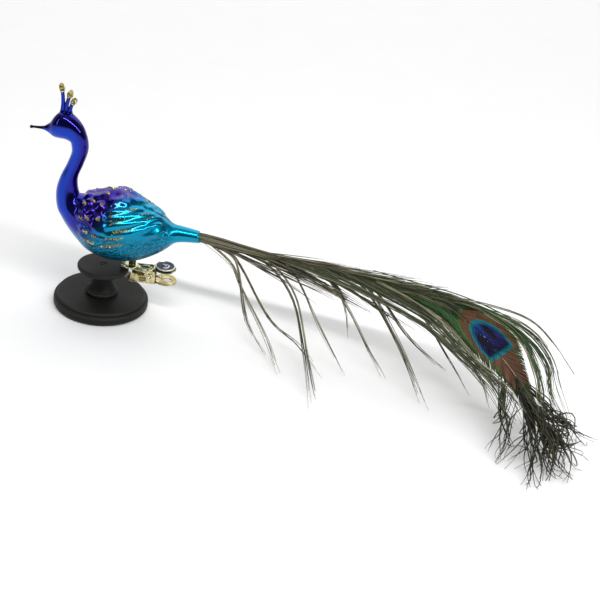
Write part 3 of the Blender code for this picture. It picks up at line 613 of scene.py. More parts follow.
def bubble(station, around):
    """Point = centre + cos(a) half_height up + sin(a) half_width (-Y), with the section at a station."""
    x, z, lean, half_height, half_width = np.moveaxis(through(SECTIONS, station), -1, 0)
    lean = np.radians(lean)
    high = np.cos(around) * half_height
    return np.stack([x + high * np.cos(lean), -np.sin(around) * half_width, z + high * np.sin(lean)], -1)


def station_of(x):
    """Station on the body whose section centre is at x."""
    stations = np.linspace(BODY_STATION, LAST_STATION, 400)
    return np.interp(x, through(SECTIONS, stations)[:, 0], stations)


def off_line(x, degrees, line):
    """Distance over the skin to a line of (x, degrees from the back) points."""
    line = np.array(line, float) * [1.0, ARC]
    here = np.stack([x, degrees * ARC], -1)
    best = np.full(x.shape, np.inf)
    for start, end in zip(line[:-1], line[1:]):
        run = end - start
        share = np.clip(((here - start) @ run) / (run @ run), 0, 1)
        best = np.minimum(best, np.linalg.norm(here - start - share[..., None] * run, axis=-1))
    return best


# Places on the skin as (x, degrees from the back), the same on both sides.
DABS = [(-10.4, 32), (-5, 26), (0.9, 34), (3.1, 11), (5.7, 0), (-11.2, 65), (-7.4, 59), (-0.8, 58), (-7.9, 84),
        (-3, 87), (-6.9, 100), (-4.2, 102)]
BARE_LOBES = [(-1.5, 71), (-4.0, 44), (-9.0, 46), (1.5, 78), (-13.0, 48), (-1.0, 14), (-7.0, 8), (9.5, 30),
              (13.5, 25), (8.5, 3), (16.5, 12), (20.5, 5)]
WING_QUILLS = [[(5.6, 52), (12.4, 44), (18.4, 30)], [(5.5, 63), (15, 52), (25.2, 26)],
               [(6.7, 78), (18.2, 62), (28.4, 27)], [(2.8, 89), (7.6, 87), (12, 82)],
               [(0.2, 105), (6, 101), (11.5, 96)]]
BACK_QUILLS = [[(8.2, 19), (10.5, 9), (9.9, -1)], [(11.3, 24), (13.6, 13), (12.9, 4)], [(19.3, 11), (23, 2)],
               [(25.5, 5), (27.4, 2)]]
RIDGES = [[(3, 47), (10, 43), (17, 33), (20, 24)], [(3.5, 57), (12, 51), (20, 38), (26, 22)],
          [(3.5, 69), (14, 60), (22, 47), (29, 22)], [(4, 83), (14, 76), (22, 62), (29, 42)]]
WING_EDGE = [(-14.5, 25), (-12.2, 56), (-9.2, 68), (-6.1, 73), (-2.6, 85), (0.7, 89), (6.2, 92), (10.1, 92),
             (15.8, 88), (22.7, 87), (28.1, 79), (31.3, 58), (33.0, 30)]
LOBE_LONG, LOBE_WIDE, LOBE_HIGH, RIDGE_HIGH = 3.6, 3.1, 1.15, 1.05


def relief(x, degrees):
    """Height the mould adds: a raised wing panel, a lapped dome ahead of each dab, ridges beside the
    quills (high exp(-distance^2)) and a fine groove along each wing quill."""
    side = np.abs(degrees)
    height = smoothstep(0, 6, np.interp(x, *zip(*WING_EDGE)) - side)
    height = height * smoothstep(-14.5, -9, x) * smoothstep(34, 27, x)
    domes = np.zeros(x.shape)
    for dab_x, dab_angle in DABS + BARE_LOBES:
        off = ((x - dab_x + 1.8) / LOBE_LONG) ** 2 + ((side - dab_angle) * ARC / LOBE_WIDE) ** 2
        domes = np.maximum(domes, LOBE_HIGH * np.clip(1 - off, 0, 1))
    height = height + domes
    for ridge_line in RIDGES:
        height = height + RIDGE_HIGH * np.exp(-off_line(x, side, ridge_line) ** 2)
    for quill in BACK_QUILLS:
        height = height + 0.6 * np.exp(-(off_line(x, side, quill) - 1.5) ** 2)
    for quill in WING_QUILLS:
        height = height - 0.22 * np.exp(-(off_line(x, side, quill) / 0.6) ** 2)
    return height * smoothstep(-17, -12, x) * smoothstep(36, 30, x)


steps = np.concatenate([np.linspace(0, BODY_STATION, 112)[:-1],
                        np.linspace(BODY_STATION, TAIL_STATION, 170)[:-1],
                        np.linspace(TAIL_STATION, LAST_STATION, 18)])
station, around = np.meshgrid(steps, np.arange(256) * math.tau / 256, indexing="ij")
skin = bubble(station, around)
outward = np.cross(np.gradient(skin, axis=0), np.roll(skin, -1, 1) - np.roll(skin, 1, 1))
outward /= np.linalg.norm(outward, axis=-1, keepdims=True) + 1e-9
outward *= np.sign(((skin - skin.mean(1, keepdims=True)) * outward).sum(-1).mean())
degrees = np.degrees(np.where(around > math.pi, around - math.tau, around))
section_x = through(SECTIONS, station)[..., 0]
lift = np.where(station > 13.6, relief(section_x, degrees), 0.0)
for _ in range(6):
    lift = (np.roll(lift, 1, 1) + 2 * lift + np.roll(lift, -1, 1)) / 4
    lift[1:-1] = (lift[:-2] + 2 * lift[1:-1] + lift[2:]) / 4
skin = skin + outward * lift[..., None]

past_edge = np.abs(degrees) - np.interp(section_x, *zip(*WING_EDGE))
teal = smoothstep(-0.5, 0.9, (section_x - 4) / 9 + (np.abs(degrees) - 50) / 35) * smoothstep(12.8, 15.0, station)
teal = np.maximum(teal, smoothstep(22.5, 24.0, station))
glass_fields = dict(
    teal=teal,
    pebble=smoothstep(-6, 8, past_edge) * smoothstep(14.5, 16.5, station) * smoothstep(24.2, 22.6, station),
    violet=smoothstep(13.6, 15.2, station) * (1 - teal),
    beak=smoothstep(2.1, 0.9, station),
    nape=smoothstep(-0.35, 0.70, np.cos(around)) * smoothstep(16, 12.5, station),
)


def plain_glass(shape, **marks):
    """Fields of a small glass piece: each lacquer mark is 0 all over unless it is given."""
    return {key: np.full(shape, float(marks.get(key, 0.0))) for key in glass_fields}


glass_paint = Paint("lacquered silvered glass", Metallic=1.0, Coat_Weight=0.25, Coat_Roughness=0.02)
on_teal, on_pebble, on_violet, on_beak, on_nape = (
    glass_paint.field(name) for name in ("teal", "pebble", "violet", "beak", "nape"))
pool, fine, pebble_cells = glass_paint.noise(55.0), glass_paint.noise(1500.0), glass_paint.cells(880.0)
patchy = (pool - 0.5) * 0.9
# Painted shade: the back of the neck and top of the head are coloured a darker navy cobalt.
cobalt = glass_paint.blend((0.10 + on_nape * 0.9 + patchy * 0.5).clip(), (0.009, 0.052, 0.48), (0.012, 0.007, 0.20))
violet = glass_paint.blend((0.5 + patchy).clip(), (0.014, 0.010, 0.24), (0.040, 0.014, 0.25))
sea = glass_paint.blend((0.5 + patchy * 1.4).clip(), (0.000, 0.17, 0.34), (0.000, 0.33, 0.50))
lacquer = glass_paint.blend(on_violet, cobalt, violet)
lacquer = glass_paint.blend((on_teal + patchy * on_teal * (1.0 - on_teal) * 3.0).clip(), lacquer, sea)
# Painted shade: on the pebbled belly the grooves between the pebbles are coloured a darker teal.
lacquer = glass_paint.blend((on_pebble * pebble_cells.ramp(0.30, 0.62)).clip(), lacquer, (0.0, 0.12, 0.22))
glass_paint.set("Base Color", glass_paint.blend(on_beak, lacquer, (0.004, 0.004, 0.006)))
glass_paint.set("Roughness", (0.03 + 0.04 * fine + 0.10 * on_pebble + 0.20 * on_teal + 0.09 * on_violet).clip())
glass_paint.bump(pebble_cells * on_pebble * -1.0 + 0.02 * fine + 0.05 * pool, 1.0, 0.0008)

BALL = 0.75
ball = turned([(AXIS, -BALL, 0), (BALL, -BALL, BALL), (BALL, BALL, BALL), (AXIS, BALL, 0)], 24, 9,
              at=(SECTIONS[0][0] + BALL, 0.0, SECTIONS[0][1]))
mouth = skin[-1:].mean(1, keepdims=True)
inner = mouth + (skin[-1:] - mouth) * 0.86
skin = np.vstack([skin, inner, inner - [4.0, 0.0, 0.0]])
skin_fields = {key: np.vstack([field, field[-1:], field[-1:]]) for key, field in glass_fields.items()}
piece("glass_bird", [patch(skin, **skin_fields), patch(ball, **plain_glass(ball.shape[:2], beak=1.0))],
      glass_paint, "bird", "teal_glass", "glass_body")

belly_z = bubble(station_of(np.array([mount_x + 2.3])), np.array([math.pi]))[0, 2]
neck = turned([(2.75, 1.2, 0), (2.75, -0.9, 0.2), (3.05, -1.2, 0.2), (3.4, -0.9, 0.2), (3.5, -0.2, 0.3),
               (4.6, 0.6, 0.1), (4.6, 1.2, 0)], 72, at=(mount_x, 0.0, belly_z))
piece("glass_belly_neck", [patch(neck, ends="loop", **plain_glass(neck.shape[:2], teal=1.0))], glass_paint,
      "bird", "teal_glass")

# ---- Glitter ----
# Crushed glass flake in olive gold, shaken on wet glue: a dab at the tip of every lapped feather and a
# tapering line between the wing ridges. Each flake is a few flat facets.
dice = np.random.default_rng(7)
CORNERS = np.array([(1, 0, 0), (0, 1, 0), (-1, 0, 0), (0, -1, 0), (0, 0, 1), (0, 0, -1)], float)
FACETS = np.array([(0, 1, 4), (1, 2, 4), (2, 3, 4), (3, 0, 4), (1, 0, 5), (2, 1, 5), (3, 2, 5), (0, 3, 5)])


def flakes(spots, size):
    """Scatters one uneven eight-faced flake at each spot: corners = spot + size * turn * stretch."""
    count = len(spots)
    turn = np.linalg.qr(dice.normal(size=(count, 3, 3)))[0]
    turn *= np.sign(np.linalg.det(turn))[:, None, None]
    stretch = size * dice.uniform(0.55, 1.25, (count, 6, 1)) * dice.uniform(0.6, 1.3, (count, 1, 1))
    corners = (CORNERS[None] * stretch) @ turn + spots[:, None]
    faces = (FACETS[None] + 6 * np.arange(count)[:, None, None]).reshape(-1, 3).tolist()
    return corners.reshape(-1, 3), faces, {"tone": np.repeat(dice.random(count), 6)[:, None]}


def square_to(way):
    """Turns each row of a table into a unit direction."""
    return way / (np.linalg.norm(way, axis=-1, keepdims=True) + 1e-9)


glitter_paint = Paint("gold glitter", Metallic=0.85)
flake_tone = glitter_paint.field("tone")
flake_colour = glitter_paint.blend(flake_tone.ramp(0.15, 0.6), (0.13, 0.10, 0.022), (0.62, 0.52, 0.20))
for odd_from, odd_colour in ((0.86, (0.92, 0.88, 0.70)), (0.95, (0.10, 0.32, 0.07)), (0.98, (0.45, 0.07, 0.05))):
    flake_colour = glitter_paint.blend(flake_tone.ramp(odd_from, odd_from + 0.005), flake_colour, odd_colour)
glitter_paint.set("Base Color", flake_colour)
glitter_paint.set("Roughness", 0.18 + 0.35 * glitter_paint.noise(2400.0, 2.0))

spots_x, spots_angle = [], []
for side in (-1, 1):
    for dab_x, dab_angle in DABS:
        reach = dice.random(60) ** 1.3
        spots_x.append(dab_x + 0.9 - 2.2 * reach)
        spots_angle.append(side * dab_angle + dice.normal(0, 0.55, 60) * (1.0 - 0.55 * reach) / ARC)
    for quill in WING_QUILLS + BACK_QUILLS:
        line = np.array(quill, float)
        length = np.linalg.norm(np.diff(line * [1.0, ARC], axis=0), axis=1).sum()
        count = int(length * 18)
        share = dice.random(count)
        centre = through(line, share * (len(line) - 1))
        width = 0.46 * (1.15 - 0.6 * share) * (0.75 + 0.25 * np.sin(share * length * 2.2))
        spots_x.append(centre[:, 0] + dice.normal(0, 0.25, count))
        spots_angle.append(side * centre[:, 1] + dice.normal(0, 1, count) * width / ARC)
spots_x, spots_angle = np.concatenate(spots_x), np.concatenate(spots_angle)
on_skin = bubble(station_of(spots_x), np.radians(spots_angle))
spine = through(SECTIONS, station_of(spots_x))
off_spine = square_to(on_skin - np.stack([spine[:, 0], 0 * spots_x, spine[:, 1]], -1))
raised = relief(spots_x, spots_angle) + dice.uniform(0.0, 0.16, len(spots_x))
piece("wing_glitter", [flakes(on_skin + off_spine * raised[:, None], 0.31)], glitter_paint, "bird",
      "gold_glitter", flat=True)

# ---- Crest ----
# Three prongs drawn out of the hot glass on the crown, each dipped in glue and rolled in the same
# glitter, so that it ends in a rough gold bead.
for label, lean in (("front", -1.0), ("middle", 1.0), ("rear", 1.0)):
    prong, tip = box("crest_prong_" + label), box("crest_tip_" + label)
    behind, ahead = (0, 1) if lean > 0 else (1, 0)
    root_x, neck_x = prong[behind][0] + 0.85 * lean, prong[ahead][0] - 0.7 * lean
    foot_z, neck_z = prong[0][2], prong[1][2]
    path = np.array([(root_x - 0.25 * lean, 0.0, foot_z - 1.9), (root_x, 0.0, foot_z + 0.4),
                     ((root_x + neck_x) / 2 - 0.35 * lean, 0.0, (foot_z + neck_z) / 2),
                     (neck_x, 0.0, neck_z + 0.3), (tip[ahead][0] - 0.8 * lean, 0.0, tip[1][2] - 0.3)])
    steps = np.linspace(0, 4, 34)
    stem = through(path, steps)
    radius = np.interp(steps, [0, 0.7, 1.2, 2, 3, 4], [2.3, 1.5, 1.1, 1.0, 0.9, 0.5])
    # The crest stems take half of the painted nape shade.
    piece("crest_stem_" + label, [tube(stem, radius, 24, **plain_glass((34, 24), nape=0.5))], glass_paint,
          "bird", "blue_glass", "crest_prong_" + label)
    bead_foot = through(path, np.array([2.9]))[0]
    bead_axis, bead_steps = stem[-1] - bead_foot, np.linspace(0.0, 1.0, 16)
    bead_radius = np.sin(math.pi * (0.08 + 0.87 * bead_steps)) ** 0.7
    bead = tube(bead_foot + bead_axis * 1.08 * bead_steps[:, None], bead_radius, 20, tone=np.full((16, 20), 0.3))
    grit_share, grit_out = dice.random(170)[:, None], dice.normal(size=(170, 3))
    grit_out = square_to(grit_out - (grit_out @ bead_axis)[:, None] * bead_axis / (bead_axis @ bead_axis))
    grit_reach = 1.1 * np.sin(math.pi * (0.08 + 0.87 * grit_share)) ** 0.7
    grit = bead_foot + bead_axis * 1.08 * grit_share + grit_out * grit_reach
    piece("crest_bead_" + label, [bead, flakes(grit, 0.58)], glitter_paint, "bird", "gold_glitter",
          "crest_tip_" + label, flat=True)

# ---- Feather shaft ----
# The quill of one natural peacock tail feather, pale horn, pushed into the open glass tail and held
# there by a little hot glue. It droops and turns to the bird's left near its tip.
SHAFT = [(33.0, 0.0, 47.6), (48.9, 0.0, 47.7), (75.5, -3.0, 46.0), (102.0, -7.5, 45.6), (128.0, -13.5, 46.0),
         (154.0, -20.5, 45.8), (169.0, -26.5, 46.2), (181.0, -34.5, 45.6), (197.5, -48.0, 39.0),
         (213.3, -65.0, 29.2), (224.0, -82.0, 16.0)]
shaft_fine = through(SHAFT, np.linspace(0, 10, 801))
shaft_run = np.r_[0, np.cumsum(np.linalg.norm(np.diff(shaft_fine, axis=0), axis=1))]
SHAFT_LENGTH = shaft_run[-1]


def on_shaft(run):
    return np.stack([np.interp(run, shaft_run, shaft_fine[:, k]) for k in range(3)], -1)


def plume(run, wide=0.0, thick=0.0):
    """Point at run along the shaft, wide across the vane and thick off its back. Past the tip the run
    goes straight on."""
    inside = np.clip(run, 2.0, SHAFT_LENGTH - 2.0)
    forward = square_to(on_shaft(inside + 2.0) - on_shaft(inside - 2.0))
    level = square_to(np.cross((0.0, 0.0, 1.0), forward))
    spread = 0.866 * level + 0.5 * np.cross(forward, level)
    past = np.clip(run - SHAFT_LENGTH, 0, None)[..., None] * square_to(shaft_fine[-1] - shaft_fine[-20])
    wide, thick = np.asarray(wide)[..., None], np.asarray(thick)[..., None]
    return on_shaft(run) + past + wide * spread + thick * np.cross(spread, forward)


horn_paint = Paint("feather quill", Coat_Weight=0.2, Coat_Roughness=0.3)
horn_paint.finish(horn_paint.noise(900.0, 4.0, stretch=(0.15, 1.0, 1.0)), (0.16, 0.12, 0.065),
                  (0.42, 0.36, 0.24), (0.35, 0.25), (0.3, 0.0002))
quill_run = np.linspace(2.0, SHAFT_LENGTH - 0.5, 140)
behind_eye = np.interp(quill_run, [135, 155, 184, 190], [0.0, 2.2, 2.2, -0.1])
quill_radius = np.interp(quill_run, [0, 110, 150, 163, 184, 190, SHAFT_LENGTH],
                         [0.9, 0.7, 0.35, 0.12, 0.12, 0.25, 0.15])
piece("quill", [tube(plume(quill_run, 0.0, behind_eye), quill_radius, guide=(0.0, 0.0, 1.0))], horn_paint,
      "bird", "feather_shaft", "feather_shaft")

glue_paint = Paint("tail glue", Coat_Weight=0.6, Coat_Roughness=0.1)
glue_paint.finish(glue_paint.noise(700.0, 4.0), (0.10, 0.075, 0.03), (0.26, 0.21, 0.11), (0.25, 0.3),
                  (0.5, 0.0004))
glue_low, glue_high = box("tail_plug")
_, glue_y, glue_z = (glue_low + glue_high) / 2
glue = turned([(AXIS, 9.4, 0), (1.1, 9.1, 0.3), (1.9, 8.7, 0.4), (2.25, 8.2, 0.2), (2.25, 0.2, 0.2),
               (AXIS, 0.2, 0)], 48, wander=0.03)
glue = np.stack([glue_low[0] + glue[..., 2], glue_y + glue[..., 0], glue_z - glue[..., 1]], -1)
piece("tail_glue", [patch(glue)], glue_paint, "bird", "glue", "tail_plug")

# ---- Feather barbs ----
# Hundreds of thin loose barbs leave both flanks of the quill and lie along it, and some clumps hang to
# the table. They are dark olive with a green or bronze sheen that changes with the angle.
TABLE_GAP = 0.15


def strands(paths, thick, tone=1.0, green=None, **fields):
    """Many thin three-sided tubes along paths (count, steps, 3), closed at both ends. Each swells from
    its root, thins to its tip, and draws its own thickness, tone and share of green."""
    count, steps = paths.shape[:2]
    share = np.linspace(0, 1, steps)
    radii = thick * (0.8 + 0.2 * smoothstep(0, 0.2, share)) * (1 - 0.62 * smoothstep(0.7, 1.0, share))
    radii = (radii * dice.uniform(0.7, 1.2, (count, 1)))[..., None, None]
    fields.update(share=share, tone=tone * dice.random((count, 1)))
    fields["green"] = 0.0 if green is None else green * dice.random((count, 1))
    forward = square_to(np.gradient(paths, axis=1))
    side = square_to(np.cross(forward, (0.31, 0.88, 0.36)))
    up = np.cross(forward, side)
    angle = (np.arange(3) * math.tau / 3)[:, None]
    grid = paths[:, :, None] + radii * (np.cos(angle) * side[:, :, None] + np.sin(angle) * up[:, :, None])
    grid[..., 2] = np.maximum(grid[..., 2], TABLE_GAP)
    index = np.arange(count * steps * 3).reshape(count, steps, 3)
    after = np.roll(index, -1, axis=2)
    quads = np.stack([index[:, :-1], after[:, :-1], after[:, 1:], index[:, 1:]], -1).reshape(-1, 4)
    faces = quads.tolist() + index[:, 0, ::-1].tolist() + index[:, -1].tolist()
    values = {key: np.repeat(np.broadcast_to(v, (count, steps)).ravel(), 3)[:, None]
              for key, v in fields.items()}
    return grid.reshape(-1, 3), faces, values


def clump_of(paths, count, spread, thick, steps=18, green=0.0, curl=0.6):
    """Fine barbs clinging together along each path: apart at the root, closed up lower down, apart
    again at the tip, swaying as curl t sin, and ending at different lengths."""
    made, t = [], np.linspace(0, 1, steps)
    for path in paths:
        ends = dice.uniform(0.72, 1.0, (count, 1))
        ends[0] = 1.0
        line = through(path, (t * ends) * (len(path) - 1))
        loose = spread * (0.25 + 1.1 * (1 - t) ** 2 + 0.5 * t ** 3)[:, None]
        off = dice.normal(0, 1, (count, 1, 3)) * loose
        phase = dice.uniform(0, 6.3, (count, 1, 3))
        sway = curl * np.sin(phase + t[:, None] * dice.uniform(3, 9, (count, 1, 1))) * t[:, None]
        made.append(strands(line + off + sway, thick, green=green))
    return made


barb_paint = Paint("feather barbs", Specular_Ior_Level=0.5)
frizz = barb_paint.noise(2200.0)
olive = barb_paint.blend((barb_paint.field("tone") ** 2.3 * 1.2 + frizz * 0.5 - 0.15).clip(),
                         (0.020, 0.019, 0.010), (0.40, 0.37, 0.23))
sheen = barb_paint.blend(barb_paint.facing(0.5).ramp(0.2, 0.8), (0.030, 0.110, 0.030), (0.110, 0.100, 0.030))
barb_colour = barb_paint.blend((barb_paint.field("green") * (0.45 + 0.5 * frizz)).clip(), olive, sheen)
tip_share = barb_paint.field("share").ramp(0.75, 1.0) * 0.5
barb_paint.set("Base Color", barb_paint.blend(tip_share, barb_colour, (0.02, 0.019, 0.012)))
barb_paint.set("Roughness", 0.42 + 0.3 * frizz)
barb_paint.bump(frizz, 0.5, 0.0002)

LAID, CLUMPS, TIED = 215, 46, 100
for flank, label in ((-1, "near"), (1, "far")):
    t = np.linspace(0, 1, 16)
    start_run = 16.5 + 112 * dice.random(LAID) ** 0.85
    reach = np.minimum(dice.uniform(38, 70, LAID), 152 - start_run + dice.uniform(-8, 8, LAID))
    clump = dice.integers(0, CLUMPS, LAID)
    clump_out = dice.uniform(0.25, 1.0, CLUMPS)[clump]
    clump_drop = dice.normal(-0.05, 0.55, CLUMPS)[clump]
    fade = np.interp(start_run + reach, [16, 60, 110, 160], [1.3, 1.9, 3.6, 5.4])[:, None]
    run = start_run[:, None] + reach[:, None] * t
    out = 0.56 * flank * fade * (clump_out + dice.normal(0, 0.07, LAID))[:, None] * t ** 0.8
    drop = -1.05 * fade * (clump_drop + dice.normal(0, 0.08, LAID))[:, None] * t ** 1.3
    curl = 0.5 * np.sin(dice.uniform(0, 6.3, (LAID, 1)) + t * dice.uniform(2, 7, (LAID, 1))) * t
    laid = plume(run) + np.stack([0 * out, out, drop + curl], -1)
    stray = (dice.random(LAID) > 0.93)[:, None] * t ** 2
    laid[..., 2] -= stray * dice.uniform(1, 6, (LAID, 1))
    made = [strands(laid, 0.24, green=smoothstep(90, 140, run))]
    ring = (dice.random((TIED, 1)) + (flank < 0)) * math.pi
    deep = 2.3 * dice.random((TIED, 1)) ** 0.5 * np.interp(t, [0, 0.3, 1.0], [1.0, 1.15, 0.75])
    run = 12.0 + dice.uniform(0, 2, (TIED, 1)) + dice.uniform(22, 50, (TIED, 1)) * t
    laid = plume(run) + np.stack([0 * deep, np.sin(ring) * deep, -np.cos(ring) * deep - 0.9 * t], -1)
    made.append(strands(laid, 0.27, tone=0.78))
    for leave in np.linspace(18, 118, 15) + dice.uniform(-3, 3, 15):
        far = leave + np.array([0, 20, 44, 68]) * dice.uniform(0.7, 1.05)
        sag = dice.uniform(6, 22) * np.array([0, 0.24, 0.6, 1.0])
        apart = flank * dice.uniform(0.5, 7.0) * np.array([0, 0.35, 0.75, 1.0])
        made += clump_of([plume(far) + np.stack([0 * far, apart, -0.6 - sag], -1)], 6, 0.36, 0.25, curl=0.9)
    piece("barb_bundle_" + label, made, barb_paint, "bird", "feather_barbs", "barbs_" + label)


def hung(path):
    """A hanging path led out of the bundle: it starts on the quill a little before its first point."""
    first = int(np.interp(path[0][0] - 15, shaft_fine[:, 0], np.arange(len(shaft_fine))))
    return np.vstack([shaft_fine[first] - [0, 0.6, 0.9], path])


HANGING = {
    1: [[(66, -2, 41.4), (72, -6, 32.0), (79, -18, 12.3), (91, -31, 1.5)],
        [(67, -3, 36.0), (74, -6, 24.5), (90, -25, 8.3), (99, -47, 1.5)]],
    2: [[(69, -2, 39.0), (90, -17, 15.8), (107, -30, 9.6), (121, -45, 1.5)],
        [(86, -5, 40.3), (101, -17, 29.2), (110, -42, 13.6), (116, -73, 1.5)],
        [(88, -6, 41.5), (103, -19, 30.0), (112, -44, 12.0), (119, -67, 1.5)]],
    3: [[(99, -7, 38.9), (116, -20, 17.5), (133, -41, 1.5)],
        [(115, -10, 41.4), (129, -17, 28.8), (144, -30, 11.1), (153, -39, 1.5)],
        [(122, -12, 38.2), (129, -14, 25.6), (134, -12, 6.5)]],
    4: [[(139, -16, 40.2), (158, -33, 19.8), (175, -61, 1.5)],
        [(137, -16, 40.5), (156, -31, 20.8), (171, -57, 3.5)]],
    5: [[(143, -17, 39.1), (163, -19, 17.1), (186, -22, 1.5)],
        [(167, -25, 41.9), (185, -33, 24.4), (201, -43, 12.6), (207, -50, 1.5)],
        [(160, -23, 41.9), (180, -36, 22.4), (196, -50, 6.6)]],
}
for number, paths in HANGING.items():
    piece(f"barb_strands_{number}", clump_of([hung(path) for path in paths], 7, 0.42, 0.26), barb_paint,
          "bird", "feather_barbs", f"barb_spray_{number}")

# ---- Feather eye ----
# Near the tip the barbs are flat and closely laid, and together they show the eye: a violet-blue heart
# with two dark lobes, a teal ring, a bronze ring and a brown fan below.
eye_paint = Paint("feather eye", Specular_Ior_Level=0.2)
eye_tone, eye_frizz = eye_paint.field("tone"), eye_paint.noise(1900.0)
wobble = (eye_frizz - 0.5) * 0.9 + (eye_tone - 0.5) * 0.5
run_in, wide_in = eye_paint.field("run") + wobble, eye_paint.field("wide") + wobble * 0.4


def oval(run, wide, half_long, half_wide):
    """0 at an oval's middle and 1 on its edge, by run along the shaft and wide across the vane."""
    return (((run_in - run) / half_long) ** 2.0 + ((wide_in - wide) / half_wide) ** 2.0) ** 0.5


def barb_mix(tone_share, frizz_share, start, dark, pale):
    """Dark to pale from barb to barb: start + tone_share tone + frizz_share frizz."""
    return eye_paint.blend((eye_tone * tone_share + eye_frizz * frizz_share + start).clip(), dark, pale)


heart_r = oval(180.5, 1.2, 16.5, 7.3).most((run_in - 172.0) / 15.0)
bronze_r = oval(178.5, 1.6, 21.5, 9.3)
lobes = oval(174.0, 3.8, 6.0, 1.5).least(oval(176.5, -1.6, 6.5, 1.9))
heart = eye_paint.blend(run_in.ramp(163.0, 184.0), (0.004, 0.045, 0.18), (0.016, 0.008, 0.13))
heart = eye_paint.blend(run_in.ramp(176.0, 185.0) * 0.95, heart, (0.004, 0.004, 0.025))
heart = eye_paint.blend(lobes.ramp(1.3, 0.7), heart, (0.006, 0.005, 0.016))
teal_ring = eye_paint.blend(eye_paint.facing(0.4).ramp(0.1, 0.8), (0.000, 0.17, 0.21), (0.010, 0.14, 0.09))
bronze = barb_mix(0.9, 1.0, -0.45, (0.080, 0.044, 0.021), (0.165, 0.083, 0.042))
fan_brown = barb_mix(0.7, 0.4, 0.0, (0.060, 0.030, 0.016), (0.17, 0.085, 0.050))
fringe = barb_mix(0.9, 0.4, -0.2, (0.026, 0.028, 0.010), (0.070, 0.105, 0.030))
leafy = barb_mix(0.8, 0.5, -0.15, (0.020, 0.050, 0.018), (0.055, 0.150, 0.050))
eye_colour = eye_paint.blend(run_in.ramp(112.0, 135.0) * run_in.ramp(182.0, 168.0), fringe, leafy)
fan = run_in.ramp(186.2, 187.2) * (wide_in - 0.8).size().ramp(5.8, 5.2) * run_in.ramp(206.0, 203.0)
for share, colour in (
    (bronze_r.ramp(1.12, 1.06), (0.050, 0.135, 0.032)),
    (bronze_r.ramp(1.04, 0.98) * run_in.ramp(194.0, 186.0), bronze),
    (fan, fan_brown),
    (heart_r.ramp(1.03, 0.97), teal_ring),
    (heart_r.ramp(0.92, 0.80), heart),
    (run_in.ramp(207.0, 222.0), (0.020, 0.020, 0.012)),
):
    eye_colour = eye_paint.blend(share, eye_colour, colour)
eye_paint.set("Base Color", eye_colour)
eye_paint.set("Roughness", 0.33 + 0.3 * eye_frizz)
eye_paint.bump(eye_frizz, 0.4, 0.0002)

EYE_BARBS, BARB_LONG, BOW = 560, 46, 0.86
OUTLINE = {
    "near": [(112, 1.5), (130, 4.0), (145, 6.0), (157, 6.8), (168, 8.8), (178, 9.6), (187, 8.8), (196, 6.2),
             (205, 4.6), (215, 3.6), (235, 3.0)],
    "far": [(112, 1.5), (130, 4.5), (145, 7.5), (157, 9.0), (168, 11.0), (176, 12.2), (184, 11.6),
            (190, 10.0), (198, 6.5), (205, 4.6), (212, 3.6), (235, 3.0)],
}
for flank, label in ((-1, "near"), (1, "far")):
    t, trial = np.linspace(0, 1, 20), np.linspace(0, 1, 90)
    start = 112.0 + 110.0 * np.linspace(0, 1, EYE_BARBS) ** 0.9 + dice.uniform(-0.3, 0.3, EYE_BARBS)
    lean = np.radians(np.interp(start, [112, 150, 175, 200, 224], [8, 19, 28, 24, 14]))
    lean = lean + dice.normal(0, 0.025, EYE_BARBS)
    start, forth, aside = (v[:, None] for v in (start, BARB_LONG * np.cos(lean), BARB_LONG * np.sin(lean)))
    edge = np.interp(start + forth * trial, *zip(*OUTLINE[label])) * dice.uniform(0.9, 1.04, (EYE_BARBS, 1))
    within = aside * trial ** BOW <= edge
    ends = np.maximum(np.argmin(within, axis=1), 8) / 89.0
    ends = np.where(within.all(axis=1), 0.7, ends)[:, None]
    wide, run = flank * aside * (t * ends) ** BOW, start + forth * t * ends
    cup = -0.012 * wide ** 2 + dice.uniform(-0.35, 0.35, (EYE_BARBS, 1)) * (0.4 + t) + 1.0 - 0.35 * (1 - t)
    piece("eye_" + label, [strands(plume(run, wide, cup), 0.27, run=run, wide=wide)], eye_paint, "bird",
          "feather_eye", "eye_vane_" + label)

# ---- Loose barbs past the eye ----
# They arch over and down from the top edge of the eye on the far side, and the barbs at the tip are
# matted into dark curling tufts that rest on the table.


def swept(way, *ends):
    """Path through (run, wide) places just in front of the vane, then through points in the open."""
    way = np.array(way, float)
    return np.vstack([plume(way[:, 0], way[:, 1], np.full(len(way), -0.6)), *ends])


outer = clump_of([
    [(171, -27, 46.5), (187, -36, 50.5), (215, -30, 41.7), (234, -21, 24.9), (249, -10, 1.5)],
    [(171, -27, 47), (190, -36, 52.5), (218, -30, 44.2), (239, -19, 24.7), (258, -8, 1.5)],
], 3, 0.35, 0.27, green=0.5)
outer += clump_of([
    swept([(112, 1), (135, 2), (150, 4.5), (165, 10), (180, 15), (194, 17), (205, 15), (215, 11)],
          (238, -76, 12)),
    swept([(108, 1), (132, 2), (150, 5), (168, 12), (185, 18.5), (200, 19), (212, 16)], (246, -71, 8)),
    swept([(118, 1), (140, 2.5), (155, 5.5), (170, 11), (186, 13.4), (198, 11), (210, 8), (218, 5)],
          (232, -86, 10)),
    swept([(104, 0), (130, 1.5), (152, 5.5), (170, 12), (186, 16), (202, 16), (214, 12)], (250, -72, 3)),
    swept([(120, 1), (145, 3.5), (160, 7.5), (176, 12), (190, 13), (204, 9), (214, 5)], (229, -90, 9)),
], 9, 0.8, 0.29, steps=22, green=1.7, curl=1.0)
